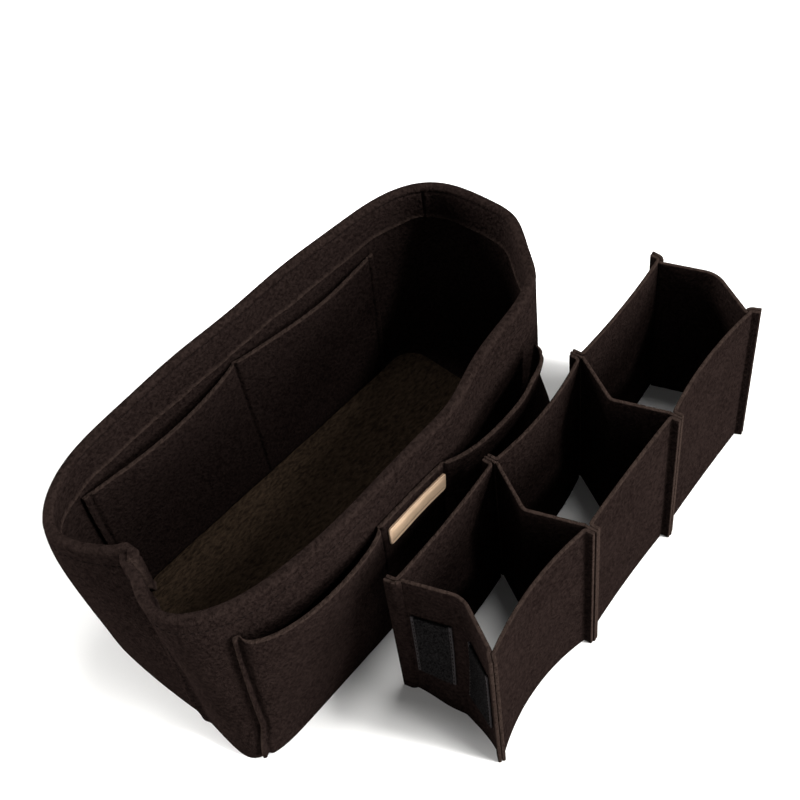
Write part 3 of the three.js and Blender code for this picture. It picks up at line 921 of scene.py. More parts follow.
@dataclass
class TubShell:
    """The tub's wall with its folded rim, and the bottom panel sewn into it."""

    course: TubCourse
    felt: float = 2.5
    sewn_gap: float = 0.3
    facing_depth: float = 23.0
    facing_lip: float = 0.9
    facing_lip_height: float = 2.6
    facing_joint_from_seam: float = 320.0
    hem_stitch_drop: float = 4.6
    outer_stitch_drop: float = 10.5
    # How the wall's front end laps over its back end, and the tab that stands up there
    lap: float = 3.6
    lap_run: float = 13.0
    lap_foot_share: float = 0.4
    bottom_let_in: float = 0.5
    lap_start: float = 2.0
    lap_foot_height: float = 18.0
    tuck_under: float = 5.0
    tab_rise: float = 2.4
    tab_height: float = 16.0
    tab_runs: tuple[float, float] = (8.0, 1.5)
    # Grooves pressed by the sewn lines, and the slit behind the facing
    outer_groove: float = 0.4
    outer_groove_width: float = 1.0
    rim_groove: float = 0.25
    hem_groove: float = 0.8
    groove_width: float = 0.9
    slit_rises: tuple[float, float] = (1.2, 2.2)
    slit_taper: float = 0.05
    # How much of the painted highlight shows on the rim's fold, on the facing's lip and into the slit
    rim_painted_highlight: float = 0.12
    lip_painted_highlight: float = 0.9
    slit_painted_highlight: tuple[float, ...] = (1.0, 0.3, 0.0, 0.0, 0.0)
    # Heights where the rows of points get closer, and where the facing begins
    plain_heights: tuple[float, float] = (55.0, 60.0)
    fine_heights: tuple[float, float] = (96.0, 99.0)
    faced_heights: tuple[float, float] = (96.0, 101.0)
    faced_depth: float = 1.5
    # The facing's upright joint, and the waves of its lower edge
    joint_groove: float = 1.6
    joint_groove_width: float = 0.55
    joint_swell: float = 0.35
    joint_swell_beside: float = 2.6
    joint_swell_width: float = 1.4
    joint_top_drops: tuple[float, float] = (3.0, 2.0)
    hem_wave: float = 0.5
    hem_wave_length: float = 26.0
    hem_wave_count: int = 5
    hem_wave_seed: int = 3
    hem_wave_height: float = 3.0
    hem_wave_depths: tuple[float, float] = (2.7, 3.2)
    # Painted highlight on the wall's two cut ends, held back where an end lies on the inner side
    end_highlight_run: float = 0.4
    end_highlight_hidden: float = 0.8
    end_highlight_depth: float = 1.0
    seam_stitch_run: float = 7.0
    worn: float = 0.6

    @property
    def facing_face(self) -> float:
        """Depth of the facing's back."""
        return self.felt + self.sewn_gap

    @property
    def facing_joint(self) -> float:
        """Run of the upright joint in the facing."""
        return self.course.rim_run - self.facing_joint_from_seam

    def section(self) -> tuple[Array, Array, Array]:
        """The wall's upright cut with the facing turned in at the rim, as a closed loop.

        It runs up the outer face, round the rim in a half circle over both layers, down the facing, round the
        facing's cut edge and up into the slit behind it, and then down the wall's inner face. The sewn lines
        are bells pressed into the faces.

        Returns:
            Height, depth and cut edge value of each point.
        """
        top, inner = self.course.height, self.facing_face + self.felt
        half = inner / 2
        foot = top - self.facing_depth
        coarse_to, fine_from = self.fine_heights
        rise = np.concatenate([np.linspace(self.worn, coarse_to, 24), np.linspace(fine_from, top - half, 44)])
        outer = (self.outer_groove * bell(rise, top - self.outer_stitch_drop, self.outer_groove_width)
                 + self.rim_groove * bell(rise, top - 2 * half, self.groove_width))
        turn = np.linspace(0.0, np.pi, 15)[1:-1]
        fall = np.linspace(top - half, foot + self.worn, 40)
        lip = 1.0 - smoothstep(fall, foot, foot + self.facing_lip_height)
        pressed = self.hem_groove * bell(fall, top - self.hem_stitch_drop, self.groove_width)
        face = inner + self.facing_lip * lip - pressed
        cut = QUARTER[1:]
        below, inset = self.worn * (1 - np.sin(cut)), self.worn * (1 - np.cos(cut))
        mouth, deep = self.slit_rises
        slit = foot + np.array([0.0, mouth, deep, deep, mouth])
        behind = self.facing_face
        slit_depth = np.array([behind, behind, behind - self.slit_taper, self.felt, self.felt])
        low, mid = self.plain_heights
        lower = np.concatenate([np.linspace(foot, mid, 14), np.linspace(low, self.worn, 12)])
        height = [rise, top - half + half * np.sin(turn), fall, foot + below, slit, lower, below, below[::-1]]
        depth = [outer, half - half * np.cos(turn), face, face[-1] - inset, slit_depth,
                 0 * lower + self.felt, self.felt - inset, inset[::-1]]
        # The cut colour paints a highlight on the rim's fold, on the facing's lower lip and a little way into
        # the slit.
        raw = [0 * rise, self.rim_painted_highlight + 0 * turn, self.lip_painted_highlight * lip, np.sin(cut), np.array(self.slit_painted_highlight),
               0 * lower, np.sin(cut), np.sin(cut)[::-1]]
        return np.concatenate(height), np.concatenate(depth), np.concatenate(raw)

    def lapped(self, run: Array, z: Array) -> Array:
        """How far the front end stands out over the back end: most at the seam, less at the foot."""
        low = lerp(self.lap_foot_share, 1.0, smoothstep(z, 0.0, self.lap_foot_height))
        return self.lap * (1.0 - smoothstep(run, self.lap_start, self.lap_run)) * low

    def wall(self) -> Piece:
        """The wall strip: its section carried along the course, with the front end lapped over the back end.

        Returns:
            The wall, from the lapping front end round to the back end tucked under it.
        """
        course = self.course
        joint = self.facing_joint
        end = course.rim_run + self.tuck_under
        runs = stations(0.0, end, 2.2, (0.0, joint, course.rim_run), reach=6.0, fine=0.5)
        height, depth, raw = self.section()
        u, v = np.meshgrid(runs, height, indexing="ij")
        d = np.broadcast_to(depth, u.shape).copy()
        top = course.height
        behind, (clear, fade) = self.facing_face, self.joint_top_drops
        faced = smoothstep(d, behind, behind + self.faced_depth) * smoothstep(v, *self.faced_heights)
        groove = self.joint_groove * bell(u, joint, self.joint_groove_width)
        d -= groove * faced * smoothstep(top - clear - v, 0.0, fade)
        d += self.joint_swell * faced * bell(u, joint - self.joint_swell_beside, self.joint_swell_width)
        d -= self.lapped(u, v)
        tab_from, tab_to = (course.rim_run - run for run in self.tab_runs)
        tab = smoothstep(u, tab_from, tab_to) * smoothstep(v, top - self.tab_height, top)
        edge = self.hem_wave * waves(u, 0 * u, self.hem_wave_length, self.hem_wave_count, self.hem_wave_seed)
        edge = edge * bell(v, top - self.facing_depth, self.hem_wave_height)
        edge = edge * smoothstep(d, *self.hem_wave_depths)
        points = course.point(u, v, d)
        points[..., 2] += self.tab_rise * tab + edge
        # Painted highlight on the cut ends, less of it on the inner side.
        ends = np.maximum(bell(u, 0.0, self.end_highlight_run), bell(u, end, self.end_highlight_run))
        ends = ends * (1.0 - self.end_highlight_hidden * smoothstep(d, self.end_highlight_depth, self.felt))
        piece = loft("tub_wall_felt", points, np.maximum(np.broadcast_to(raw, u.shape), ends),
                     np.stack([u, v], -1), capped=True)
        return dress(piece, BLACK_FELT)

    def bottom(self) -> Piece:
        """The bottom panel: the wall's inner course at the foot, a little into its felt, filled level.

        Returns:
            The panel, closed and flat.
        """
        course = self.course
        runs = np.linspace(0.0, course.rim_run, 260, endpoint=False)
        foot = np.full_like(runs, self.felt)
        outline = course.point(runs, foot, self.felt - self.bottom_let_in - self.lapped(runs, foot))[:, :2]

        def place(x: Array, y: Array, w: Array) -> Array:
            """Level at the height of the thickness share."""
            return np.stack([x, y, w * self.felt], -1)

        return dress(pad("bottom_panel_felt", outline, self.felt, self.worn, 14, place), BLACK_FELT)

    def seams(self) -> Piece:
        """The stitches along the rim, inside and outside, and down the lapped seam of the near end.

        Returns:
            One piece with all the stitches.
        """
        course = self.course
        runs = np.linspace(3.0, course.rim_run - 3.0, 1600)
        inside = np.full_like(runs, course.height - self.hem_stitch_drop)
        outside = np.full_like(runs, course.height - self.outer_stitch_drop)
        deep = self.facing_face + self.felt - 0.75
        rows = [(course.point(runs, inside, deep - self.lapped(runs, inside)), -course.out(runs, inside)),
                (course.point(runs, outside, 0.35 - self.lapped(runs, outside)), course.out(runs, outside))]
        heights = np.linspace(6.0, course.height - 8.0, 300)
        beside = np.full_like(heights, self.seam_stitch_run)
        sewn = course.point(beside, heights, -self.lapped(beside, heights))
        rows.append((sewn, course.out(beside, heights)))
        return dress(SEWING.piece("rim_stitches", rows), BLACK_THREAD)

    def build(self) -> list[Piece]:
        """Builds the shell's pieces, hangs them on the tub's body and hides the frame's parts that they
        replace.

        Returns:
            The wall, the bottom panel and the stitches.
        """
        wall, bottom, seams = self.wall(), self.bottom(), self.seams()
        carry((wall, bottom, seams), "tub")
        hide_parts("tub_wall", "front_rim_facing", "back_rim_facing")
        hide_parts("bottom_panel")
        return [wall, bottom, seams]


def fullness(share: Array, skew: float, power: float) -> Array:
    """How far a pocket's mouth stands off, as a share of its bow: a sine of the skewed share, to a power."""
    return np.sin(np.pi * np.clip(share, 0.0, 1.0) ** skew) ** power


@dataclass
class InnerPockets:
    """The pocket panel inside the back wall, sewn down its middle and at both ends."""

    shell: TubShell
    width: float = 101.0
    seam_x: float = -6.5
    drop: float = 8.0
    near_bow: float = 6.5
    far_bow: float = 4.5
    far_fall: float = 4.0
    flat_height: float = 40.0
    power: float = 0.7
    margin: float = 3.2
    sag: float = 0.8
    sag_from: float = 50.0
    end_groove: float = 1.5
    end_groove_width: float = 0.8
    seam_groove: float = 1.3
    seam_groove_width: float = 1.0
    worn: float = 0.55

    def __post_init__(self) -> None:
        """Finds where the panel's seams cross the wall."""
        self.seam = self.shell.course.back_run_at(self.seam_x)
        self.first, self.last = self.seam - self.width, self.seam + self.width
        self.lines = (self.first + self.margin, self.seam, self.last - self.margin)
        self.top = self.shell.course.height - self.shell.facing_depth - self.drop

    def stand_off(self, run: Array, z: Array) -> Array:
        """Depth of the panel's back: sewn to the wall at the seams, and bowed out at the mouths.

        Args:
            run: Runs along the rim from the seam.
            z: Heights.

        Returns:
            Distances in millimetres.
        """
        share = np.abs(run - self.seam) / self.width
        rise = smoothstep(z, self.flat_height, self.top)
        bow = np.where(run > self.seam, self.near_bow, self.far_bow)
        return self.shell.facing_face + bow * fullness(share, 1.0, self.power) * rise

    def fall(self, run: Array, z: Array) -> Array:
        """How far the mouths hang below level: a sine over each pocket, and a slope to the far end.

        Args:
            run: Runs along the rim from the seam.
            z: Heights.

        Returns:
            Distances in millimetres.
        """
        share = np.clip(np.abs(run - self.seam) / self.width, 0.0, 1.0)
        slope = self.far_fall * np.clip((self.seam - run) / self.width, 0.0, 1.0)
        return (self.sag * np.sin(np.pi * share) + slope - self.sag) * smoothstep(z, self.sag_from, self.top)

    def pressed(self, run: Array) -> Array:
        """How far the sewn lines press the panel's face in: bells at the middle and beside both ends."""
        ends = sum(bell(run, line, self.end_groove_width) for line in (self.lines[0], self.lines[2]))
        return self.end_groove * ends + self.seam_groove * bell(run, self.seam, self.seam_groove_width)

    def panel(self) -> Piece:
        """The felt panel, from its far end to its near end.

        Returns:
            The panel.
        """
        course, felt = self.shell.course, self.shell.felt
        runs = stations(self.first, self.last, 2.2, self.lines, reach=3.6, fine=0.5)
        levels = np.concatenate([[felt + self.shell.sewn_gap], np.linspace(8.0, self.flat_height, 9),
                                 np.linspace(43.0, self.top - 1.8, 26), [self.top]])

        def place(u: Array, v: Array, w: Array) -> Array:
            """In by the stand-off and the thickness share less the pressed lines, and down by the fall."""
            depth = self.stand_off(u, v) + w * felt - self.pressed(u) * w
            return course.point(u, v - self.fall(u, v), depth)

        return dress(felt_sheet("inner_pocket_felt", runs, levels, felt, self.worn, place), BLACK_FELT)

    def seams(self) -> Piece:
        """The stitches down the middle and beside both ends.

        Returns:
            One piece with all the stitches.
        """
        course = self.shell.course
        heights = np.linspace(6.0, self.top - 1.5, 260)
        rows = []
        for run in self.lines:
            at = np.full_like(heights, run)
            depth = self.stand_off(at, heights) + self.shell.felt - self.pressed(at)
            level = heights - self.fall(at, heights)
            rows.append((course.point(at, level, depth), -course.out(at, level)))
        return dress(SEWING.piece("inner_pocket_stitches", rows), BLACK_THREAD)

    def build(self) -> list[Piece]:
        """Builds the panel and its stitches, hangs them on the tub's body and hides the frame's pocket panel.

        Returns:
            The panel and the stitches.
        """
        panel, seams = self.panel(), self.seams()
        carry((panel, seams), "tub")
        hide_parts("inner_pocket_panel")
        return [panel, seams]


@dataclass
class FrontPockets:
    """The pocket panel on the outside of the front wall, with its label."""

    shell: TubShell
    drops: tuple[float, ...] = (19.5, 25.0, 29.5, 27.0)
    from_seam: float = 69.5
    left_width: float = 81.0
    label_section: float = 48.0
    right_width: float = 82.0
    left_bow: float = 8.0
    left_skew: float = 0.7
    left_power: float = 0.5
    right_bow: float = 16.0
    right_skew: float = 1.5
    power: float = 0.6
    far_loose: float = 4.4
    loose_share: float = 0.75
    margin: float = 3.5
    sag: float = 1.0
    sag_skews: tuple[float, float] = (0.7, 1.3)
    sag_from: float = 30.0
    ridge: float = 0.5
    ridge_runs: tuple[float, float] = (1.2, 1.9)
    near_stitch: float = 2.6
    near_groove: float = 1.3
    near_groove_width: float = 0.7
    seam_groove: float = 1.2
    seam_groove_width: float = 0.9
    far_stitch: float = 3.0
    far_groove: float = 0.7
    far_groove_width: float = 0.8
    foot_lift: float = 3.5
    foot_lift_run: float = 7.0
    foot_lift_height: float = 24.0
    label_from_left: float = 4.0
    label_width: float = 43.5
    label_height: float = 13.0
    label_thickness: float = 1.2
    label_drop: float = 6.0
    label_corner: float = 1.8
    label_worn: float = 0.4
    label_press: float = 0.35
    label_press_inset: float = 1.9
    label_press_width: float = 0.7
    worn: float = 0.55

    def __post_init__(self) -> None:
        """Finds where the panel's seams cross the wall."""
        self.left_end = self.from_seam + self.left_width
        self.right_start = self.left_end + self.label_section
        self.end = self.right_start + self.right_width
        self.top = self.shell.course.height - min(self.drops)

    def edge_height(self, run: Array) -> Array:
        """Height of the upper edge, which is straight between the panel's seams."""
        seams = (self.from_seam, self.left_end, self.right_start, self.end)
        return self.shell.course.height - np.interp(run, seams, self.drops)

    def pocket_shares(self, run: Array) -> tuple[Array, Array]:
        """Shares of the left and the right pocket's width at a run."""
        left = (run - self.from_seam - self.margin) / (self.left_width - self.margin)
        return left, (run - self.right_start) / self.right_width

    def stand_off(self, run: Array, z: Array) -> Array:
        """Distance of the panel's back from the wall: two bowed pockets, a flat section and a loose far end.

        Args:
            run: Runs along the rim from the seam.
            z: Heights.

        Returns:
            Distances in millimetres.
        """
        left, right = self.pocket_shares(run)
        share = np.clip(z / self.top, 0.0, 1.0)
        bow = (self.left_bow * fullness(left, self.left_skew, self.left_power)
               + self.right_bow * fullness(right, self.right_skew, self.power))
        loose = self.far_loose * smoothstep(right, self.loose_share, 1.0) * share
        return self.shell.sewn_gap + (bow + loose) * share

    def raised(self, run: Array) -> Array:
        """How far the sewn lines raise or press the panel's face: a ridge at its near end, and grooves.

        Args:
            run: Runs along the rim from the seam.

        Returns:
            Heights above the plain face, below zero in a groove.
        """
        near = run - self.from_seam
        ridge = self.ridge * (1.0 - smoothstep(near, *self.ridge_runs))
        ridge = ridge - self.near_groove * bell(near, self.near_stitch, self.near_groove_width)
        grooves = sum(bell(run, seam, self.seam_groove_width) for seam in (self.left_end, self.right_start))
        far = self.far_groove * bell(run, self.end - self.far_stitch, self.far_groove_width)
        return ridge - self.seam_groove * grooves - far

    def fall(self, run: Array, z: Array) -> Array:
        """How far the panel hangs below its highest level: its sloping edge, and mouths that sag.

        Args:
            run: Runs along the rim from the seam.
            z: Heights.

        Returns:
            Distances in millimetres.
        """
        hung = [fullness(share, skew, 1.0) for share, skew in zip(self.pocket_shares(run), self.sag_skews)]
        sag = self.sag * (hung[0] + hung[1])
        return (self.top - self.edge_height(run) + sag) * smoothstep(z, self.sag_from, self.top)

    def panel(self) -> Piece:
        """The felt panel, from its near end to its far end.

        Returns:
            The panel.
        """
        course, felt = self.shell.course, self.shell.felt
        marks = (self.from_seam + 3.0, self.left_end, self.right_start, self.end - self.far_stitch)
        runs = stations(self.from_seam, self.end, 2.0, marks, reach=4.0, fine=0.45)
        levels = np.concatenate([[0.0], np.linspace(2.0, self.top - 2.0, 50), [self.top]])

        def place(u: Array, v: Array, w: Array) -> Array:
            """Out by the stand-off and the thickness with its lines, down by the fall, and up at the foot."""
            depth = -self.stand_off(u, v) - (1.0 - w) * (felt + self.raised(u))
            lift = self.foot_lift * bell(u, self.from_seam, self.foot_lift_run)
            lift = lift * (1.0 - smoothstep(v, 0.0, self.foot_lift_height))
            return course.point(u, v - self.fall(u, v) + lift, depth)

        return dress(felt_sheet("front_pocket_felt", runs, levels, felt, self.worn, place), BLACK_FELT)

    def label(self) -> Piece:
        """The leather label: a rounded rectangle laid along the flat section.

        Returns:
            The label.
        """
        course = self.shell.course
        middle = self.left_end + self.label_from_left + self.label_width / 2
        drop = self.label_drop + self.label_height / 2
        face = self.shell.sewn_gap + self.shell.felt
        outline = rounded_rectangle(self.label_width / 2, self.label_height / 2, self.label_corner, 1.0)

        def place(x: Array, y: Array, w: Array) -> Array:
            """On the section's face, out by the thickness share, with a line pressed in along its rim."""
            near = np.minimum(self.label_width / 2 - np.abs(x), self.label_height / 2 - np.abs(y))
            pressed = self.label_press * bell(near, self.label_press_inset, self.label_press_width)
            run, out = middle + x, -face - w * (self.label_thickness - pressed)
            return course.point(run, self.edge_height(run) - drop + y, out)

        piece = pad("label_leather", outline, self.label_thickness, self.label_worn, 22, place)
        return dress(piece, LABEL_LEATHER)

    def seams(self) -> Piece:
        """The stitches down the panel's ends and down both sides of the label's section.

        Returns:
            One piece with all the stitches.
        """
        course = self.shell.course
        heights = np.linspace(3.0, self.top - 1.5, 260)
        rows = []
        near, far = self.from_seam + self.near_stitch, self.end - self.far_stitch
        for run in (near, self.left_end, self.right_start, far):
            at = np.full_like(heights, run)
            depth = -self.stand_off(at, heights) - self.shell.felt - self.raised(at)
            level = heights - self.fall(at, heights)
            rows.append((course.point(at, level, depth), course.out(at, level)))
        return dress(SEWING.piece("front_pocket_stitches", rows), BLACK_THREAD)

    def build(self) -> list[Piece]:
        """Builds the panel, label and stitches, hangs them on the tub's body and hides the frame's pocket
        panel and label.

        Returns:
            The panel, the label and the stitches.
        """
        panel, label, seams = self.panel(), self.label(), self.seams()
        carry((panel, seams), "tub")
        carry((label,), "tub")
        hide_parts("front_pocket_panel")
        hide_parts("leather_label")
        return [panel, label, seams]


@dataclass
class BaseBoard:
    """The loose, thicker and hairier board on the tub's bottom."""

    shell: TubShell
    thickness: float = 3.5
    end_space: float = 26.5
    side_space: float = 1.7
    corner: float = 14.0
    front_taper: float = 0.28
    curl: float = 2.2
    curl_from: float = 0.72
    uneven: float = 0.35
    uneven_length: float = 34.0
    uneven_count: int = 8
    uneven_seed: int = 5
    worn: float = 0.9

    def build(self) -> list[Piece]:
        """Builds the board, hangs it on the board's body and hides the frame's board.

        Returns:
            The board alone.
        """
        course = self.shell.course
        half_length = course.floor_length / 2 - self.end_space
        half_width = course.floor_width / 2 - self.shell.facing_face - self.shell.felt - self.side_space
        outline = rounded_rectangle(half_length, half_width, self.corner, 2.0)
        narrowed = 1.0 - self.front_taper * (outline[:, 0] / course.floor_length + 0.5)
        outline[:, 1] *= np.where(outline[:, 1] < 0, narrowed, 1.0)
        foot = self.shell.facing_face

        def place(x: Array, y: Array, w: Array) -> Array:
            """Level, with a soft unevenness on top and the far end curled up, as a square."""
            lift = self.curl * smoothstep(x, half_length * self.curl_from, half_length) ** 2
            soft = self.uneven * waves(x, y, self.uneven_length, self.uneven_count, self.uneven_seed) * w
            return np.stack([x, y, foot + w * self.thickness + lift + soft], -1)

        board = pad("base_board_felt", outline, self.thickness, self.worn, 40, place)
        dress(board, BOARD_FELT)
        carry((board,), "base_board")
        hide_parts("base_board")
        return [board]


# Divider


@dataclass
class PlanPath:
    """A felt sheet's middle line seen from above, measured along its length."""

    points: Array

    def __post_init__(self) -> None:
        """Measures the line and finds its normals, which point to its left."""
        self.lengths = lengths_along(self.points)
        along = unit(np.gradient(self.points, self.lengths, axis=0))
        self.normals = np.stack([-along[:, 1], along[:, 0]], -1)

    def at(self, u: Array) -> Array:
        """Points at distances along the line."""
        return np.stack([np.interp(u, self.lengths, self.points[:, i]) for i in range(2)], -1)

    def left(self, u: Array) -> Array:
        """Normals at distances along the line."""
        return unit(np.stack([np.interp(u, self.lengths, self.normals[:, i]) for i in range(2)], -1))

    def offset(self, distance: float) -> "PlanPath":
        """A line beside this one, to its left by a distance."""
        return PlanPath(self.points + self.normals * distance)


def turned_end(angle: float, radius: float, run: float) -> Array:
    """A path's end that turns off the +X direction: an arc up to an angle, then a straight run.

    Args:
        angle: How far the path turns.
        radius: Radius of the arc.
        run: Length of the straight run.

    Returns:
        Plan points, with the path's last point before the turn as the origin and left out.
    """
    turn = np.linspace(0.0, angle, 8)[1:]
    arc = np.stack([radius * np.sin(turn), radius * (1.0 - np.cos(turn))], -1)
    straight = np.linspace(0.0, run, 7)[1:, None] * np.array([np.cos(angle), np.sin(angle)])
    return np.concatenate([arc, arc[-1] + straight])


@dataclass
class CrossPanel:
    """One creased panel across the divider: two leaves that fold at an upright crease."""

    name: str
    index: int
    lean: Lean
    crease_radius: float


@dataclass
class Divider:
    """The folding divider: two long sides of three cells each, joined by four creased cross panels."""

    floor_width: float
    felt: float = 2.0
    height: float = 100.0
    x: float = 62.7
    space: float = 17.2
    turn: float = np.radians(5.9)
    cells: int = 3
    pitch: float = 74.0
    bows: dict[Side, tuple[tuple[float, float], ...]] = field(default_factory=lambda: {
        Side.LEFT: ((1.5, 1.2), (4.0, 4.0), (1.5, 1.5)), Side.RIGHT: ((6.0, 4.2), (1.0, 0.6), (0.6, 3.0))})
    flange_turns: dict[Side, tuple[float, float]] = field(default_factory=lambda: {
        Side.LEFT: (1.4, 1.5), Side.RIGHT: (0.8, 1.2)})
    leaf: float = 27.5
    fold: float = np.radians(24.0)
    skew: float = np.radians(7.5)
    hinge_gap: float = 0.4
    fin_layer: float = 1.7
    fin_run: float = 3.4
    fin_rise: float = 0.3
    flange_run: float = 3.6
    bend: float = 1.5
    crease_radii: tuple[float, ...] = (13.0, 4.5, 4.5, 14.0)
    # Shares of the felt's thickness that sheets keep, so that sewn layers stay apart, and where stitches lie
    sheet_share: float = 0.95
    stitch_share: float = 0.47
    stitch_inset: float = 2.2
    stitch_end_space: float = 2.0
    stitch_points: int = 200
    lift_height: float = 9.0
    lift_shares: tuple[float, float] = (0.6, 1.3)
    fin_space_share: float = 1.02
    fin_share: float = 0.96
    fin_past: float = 0.6
    flange_share: float = 0.9
    flange_past: float = 0.4
    edge_rise_share: float = 0.8
    hinge_reach_share: float = 0.6
    blend_share: float = 0.5
    blend_limits: tuple[float, float] = (3.0, 8.0)
    foot_swell: float = 7.0
    foot_swell_at: float = 25.5
    foot_swell_width: float = 19.0
    foot_swell_fade: float = 3.0
    worn: float = 0.45

    def __post_init__(self) -> None:
        """Works out the divider's place and the spans between its hinge lines."""
        self.origin = np.array([self.x, -self.floor_width / 2 - self.space])
        self.to_hinge = self.felt / 2 + self.hinge_gap
        self.half_span = self.leaf * np.cos(self.fold) + self.felt / 2 * np.sin(self.fold)
        self.seams_x = (np.arange(self.cells + 1) - self.cells / 2) * self.pitch
        names = ("near_end", "near_partition", "far_partition", "far_end")
        leans = (Lean.FAR, Lean.NEAR, Lean.NEAR, Lean.FAR)
        self.crossings = [CrossPanel(name, index, lean, radius) for index, (name, lean, radius)
                          in enumerate(zip(names, leans, self.crease_radii))]

    @staticmethod
    def turned(points: Array, angle: float) -> Array:
        """Plan points turned about the origin."""
        c, s = np.cos(angle), np.sin(angle)
        return points @ np.array([[c, s], [-s, c]])

    def world(self, points: Array) -> Array:
        """The divider's plan points in the shared frame."""
        return self.turned(points, self.turn) + self.origin

    def side_shift(self, side: Side) -> Array:
        """Where a long side's own origin lies on the divider's plan.

        Args:
            side: The long side.

        Returns:
            The plan point, turned by the skew for the right side.
        """
        if side is Side.LEFT:
            return np.zeros(2)
        span = 2 * self.half_span * np.array([-np.sin(self.skew), -np.cos(self.skew)])
        return span - np.array([0.0, 2 * self.to_hinge])

    def end_turn(self, seam: int, side: Side) -> tuple[float, float]:
        """How a cell's side turns out at a seam: as a corner flange or as half of a partition's fin.

        Args:
            seam: Number of the seam from the near end.
            side: The long side.

        Returns:
            How far it turns, and how far it then runs.
        """
        if 0 < seam < self.cells:
            return np.pi / 2, self.fin_run
        return self.flange_turns[side][0 if seam == 0 else 1], self.flange_run

    def cell_path(self, cell: int, side: Side) -> PlanPath:
        """The upper line of one cell's side, as for the left: bowed in between its ends, which turn outwards.

        Args:
            cell: Number of the cell from the near end.
            side: The long side, which has its own bows and corner flanges.

        Returns:
            The line from its near end to its far end. It is a parabola that falls from both seams by the bow.
        """
        start, end = self.seams_x[cell], self.seams_x[cell + 1]
        fin_space = self.fin_layer * self.fin_space_share + self.bend
        first = start + (0.0 if cell == 0 else fin_space)
        last = end - (0.0 if cell == self.cells - 1 else fin_space)
        x = np.linspace(first, last, 52)
        share = (x - start) / self.pitch
        main = np.stack([x, self.felt / 2 - self.bows[side][cell][1] * 4.0 * share * (1.0 - share)], -1)
        near, far = self.end_turn(cell, side), self.end_turn(cell + 1, side)
        before = main[0] + (turned_end(near[0], self.bend, near[1]) * [-1.0, 1.0])[::-1]
        return PlanPath(np.concatenate([before, main, main[-1] + turned_end(far[0], self.bend, far[1])]))

    def on_side(self, path: PlanPath, side: Side) -> PlanPath:
        """A left side's line moved to a side of the divider in the shared frame."""
        return PlanPath(self.world(path.points * [1.0, side.value] + self.side_shift(side)))

    def upright(self, name: str, path: PlanPath, thickness: float, foot: float, head: float, outward: int,
                lifted: Callable[[Array], Array] | None = None,
                swell: Callable[[Array, Array], Array] | None = None) -> Piece:
        """A felt sheet standing on a plan line.

        Args:
            name: The piece's name.
            path: Its middle line in the shared frame.
            thickness: Its thickness.
            foot: Height of its lower edge.
            head: Height of its upper edge.
            outward: 1 if the line's left is the outer face, or -1.
            lifted: Gives the rise of the upper edge at distances along the line.
            swell: Gives how far the sheet stands to the line's left, at distances along it and heights.

        Returns:
            The new object.
        """
        levels = np.linspace(foot, head, 26)

        def place(u: Array, v: Array, w: Array) -> Array:
            """Off the line by the swell and the thickness share, at the height; the upper rows are lifted."""
            off = (0.5 - w) * thickness * outward + (0.0 if swell is None else swell(u, v))
            flat = path.at(u) + path.left(u) * off[..., None]
            z = v if lifted is None else v + lifted(u) * smoothstep(v, head - self.lift_height, head)
            return np.concatenate([flat, np.broadcast_to(z, w.shape)[..., None]], -1)

        return dress(felt_sheet(name, path.lengths, levels, thickness, self.worn, place), BLACK_FELT)

    def sewn_line(self, path: PlanPath, place: float, side: Side) -> list[tuple[Array, Array]]:
        """An upright sewn line on both faces of a long side.

        Args:
            path: The side's middle line.
            place: Distance of the sewn line along it.
            side: The long side.

        Returns:
            Path and normals of the stitches on the outer face and on the inner face.
        """
        count = self.stitch_points
        heights = np.linspace(self.stitch_end_space, self.height - self.stitch_end_space, count)
        at = path.at(np.full(1, place))
        normal = path.left(np.full(1, place)) * side.value
        line = np.concatenate([np.repeat(at, count, 0), heights[:, None]], 1)
        out = np.concatenate([np.repeat(normal, count, 0), np.zeros((count, 1))], 1)
        off = out * self.felt * self.stitch_share
        return [(line + off, out), (line - off, -out)]

    def cell_side(self, cell: int, side: Side) -> tuple[Piece, list[tuple[Array, Array]]]:
        """One cell's side, with ends that turn outwards and stand a little higher.

        Args:
            cell: Number of the cell from the near end.
            side: The long side.

        Returns:
            The sheet, and path and normals of the sewn lines at its ends.
        """
        path = self.on_side(self.cell_path(cell, side), side)
        total = path.lengths[-1]
        reach = self.fin_run + self.bend
        foot_bow, head_bow = self.bows[side][cell]

        def lifted(u: Array) -> Array:
            """The fin's rise at the turned-out ends, and none between them."""
            low, high = (reach * share for share in self.lift_shares)
            return self.fin_rise * (1.0 - smoothstep(np.minimum(u, total - u), low, high))

        def swell(u: Array, v: Array) -> Array:
            """The foot's bow beyond the upper edge's, as a parabola that fades evenly upwards."""
            share = np.clip((u - reach) / (total - 2.0 * reach), 0.0, 1.0)
            more = foot_bow - head_bow
            return -side.value * more * 4.0 * share * (1.0 - share) * (1.0 - v / self.height)

        name = f"divider_{side.label}_cell_{cell + 1}_felt"
        thickness = self.felt * self.sheet_share
        sheet = self.upright(name, path, thickness, 0.0, self.height, side.value, lifted, swell)
        ends = (self.stitch_inset, total - self.stitch_inset)
        return sheet, [row for place in ends for row in self.sewn_line(path, place, side)]

    def long_side(self, side: Side) -> list[Piece]:
        """Builds three cells' sides, the felt edges sewn between them and their stitches.

        Args:
            side: The long side.

        Returns:
            The sides, the edges and the stitches.
        """
        body = f"divider_{side.label}"
        cells = [self.cell_side(cell, side) for cell in range(self.cells)]
        sheets = [sheet for sheet, _ in cells]
        edges = self.edge_layers(side)
        rows = [row for _, lines in cells for row in lines]
        seams = dress(SEWING.piece(f"{body}_stitches", rows), BLACK_THREAD)
        carry((*sheets, *edges, seams), body)
        for piece in sheets:
            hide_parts(f"divider_{side.label}_panel")
        return [*sheets, *edges, seams]

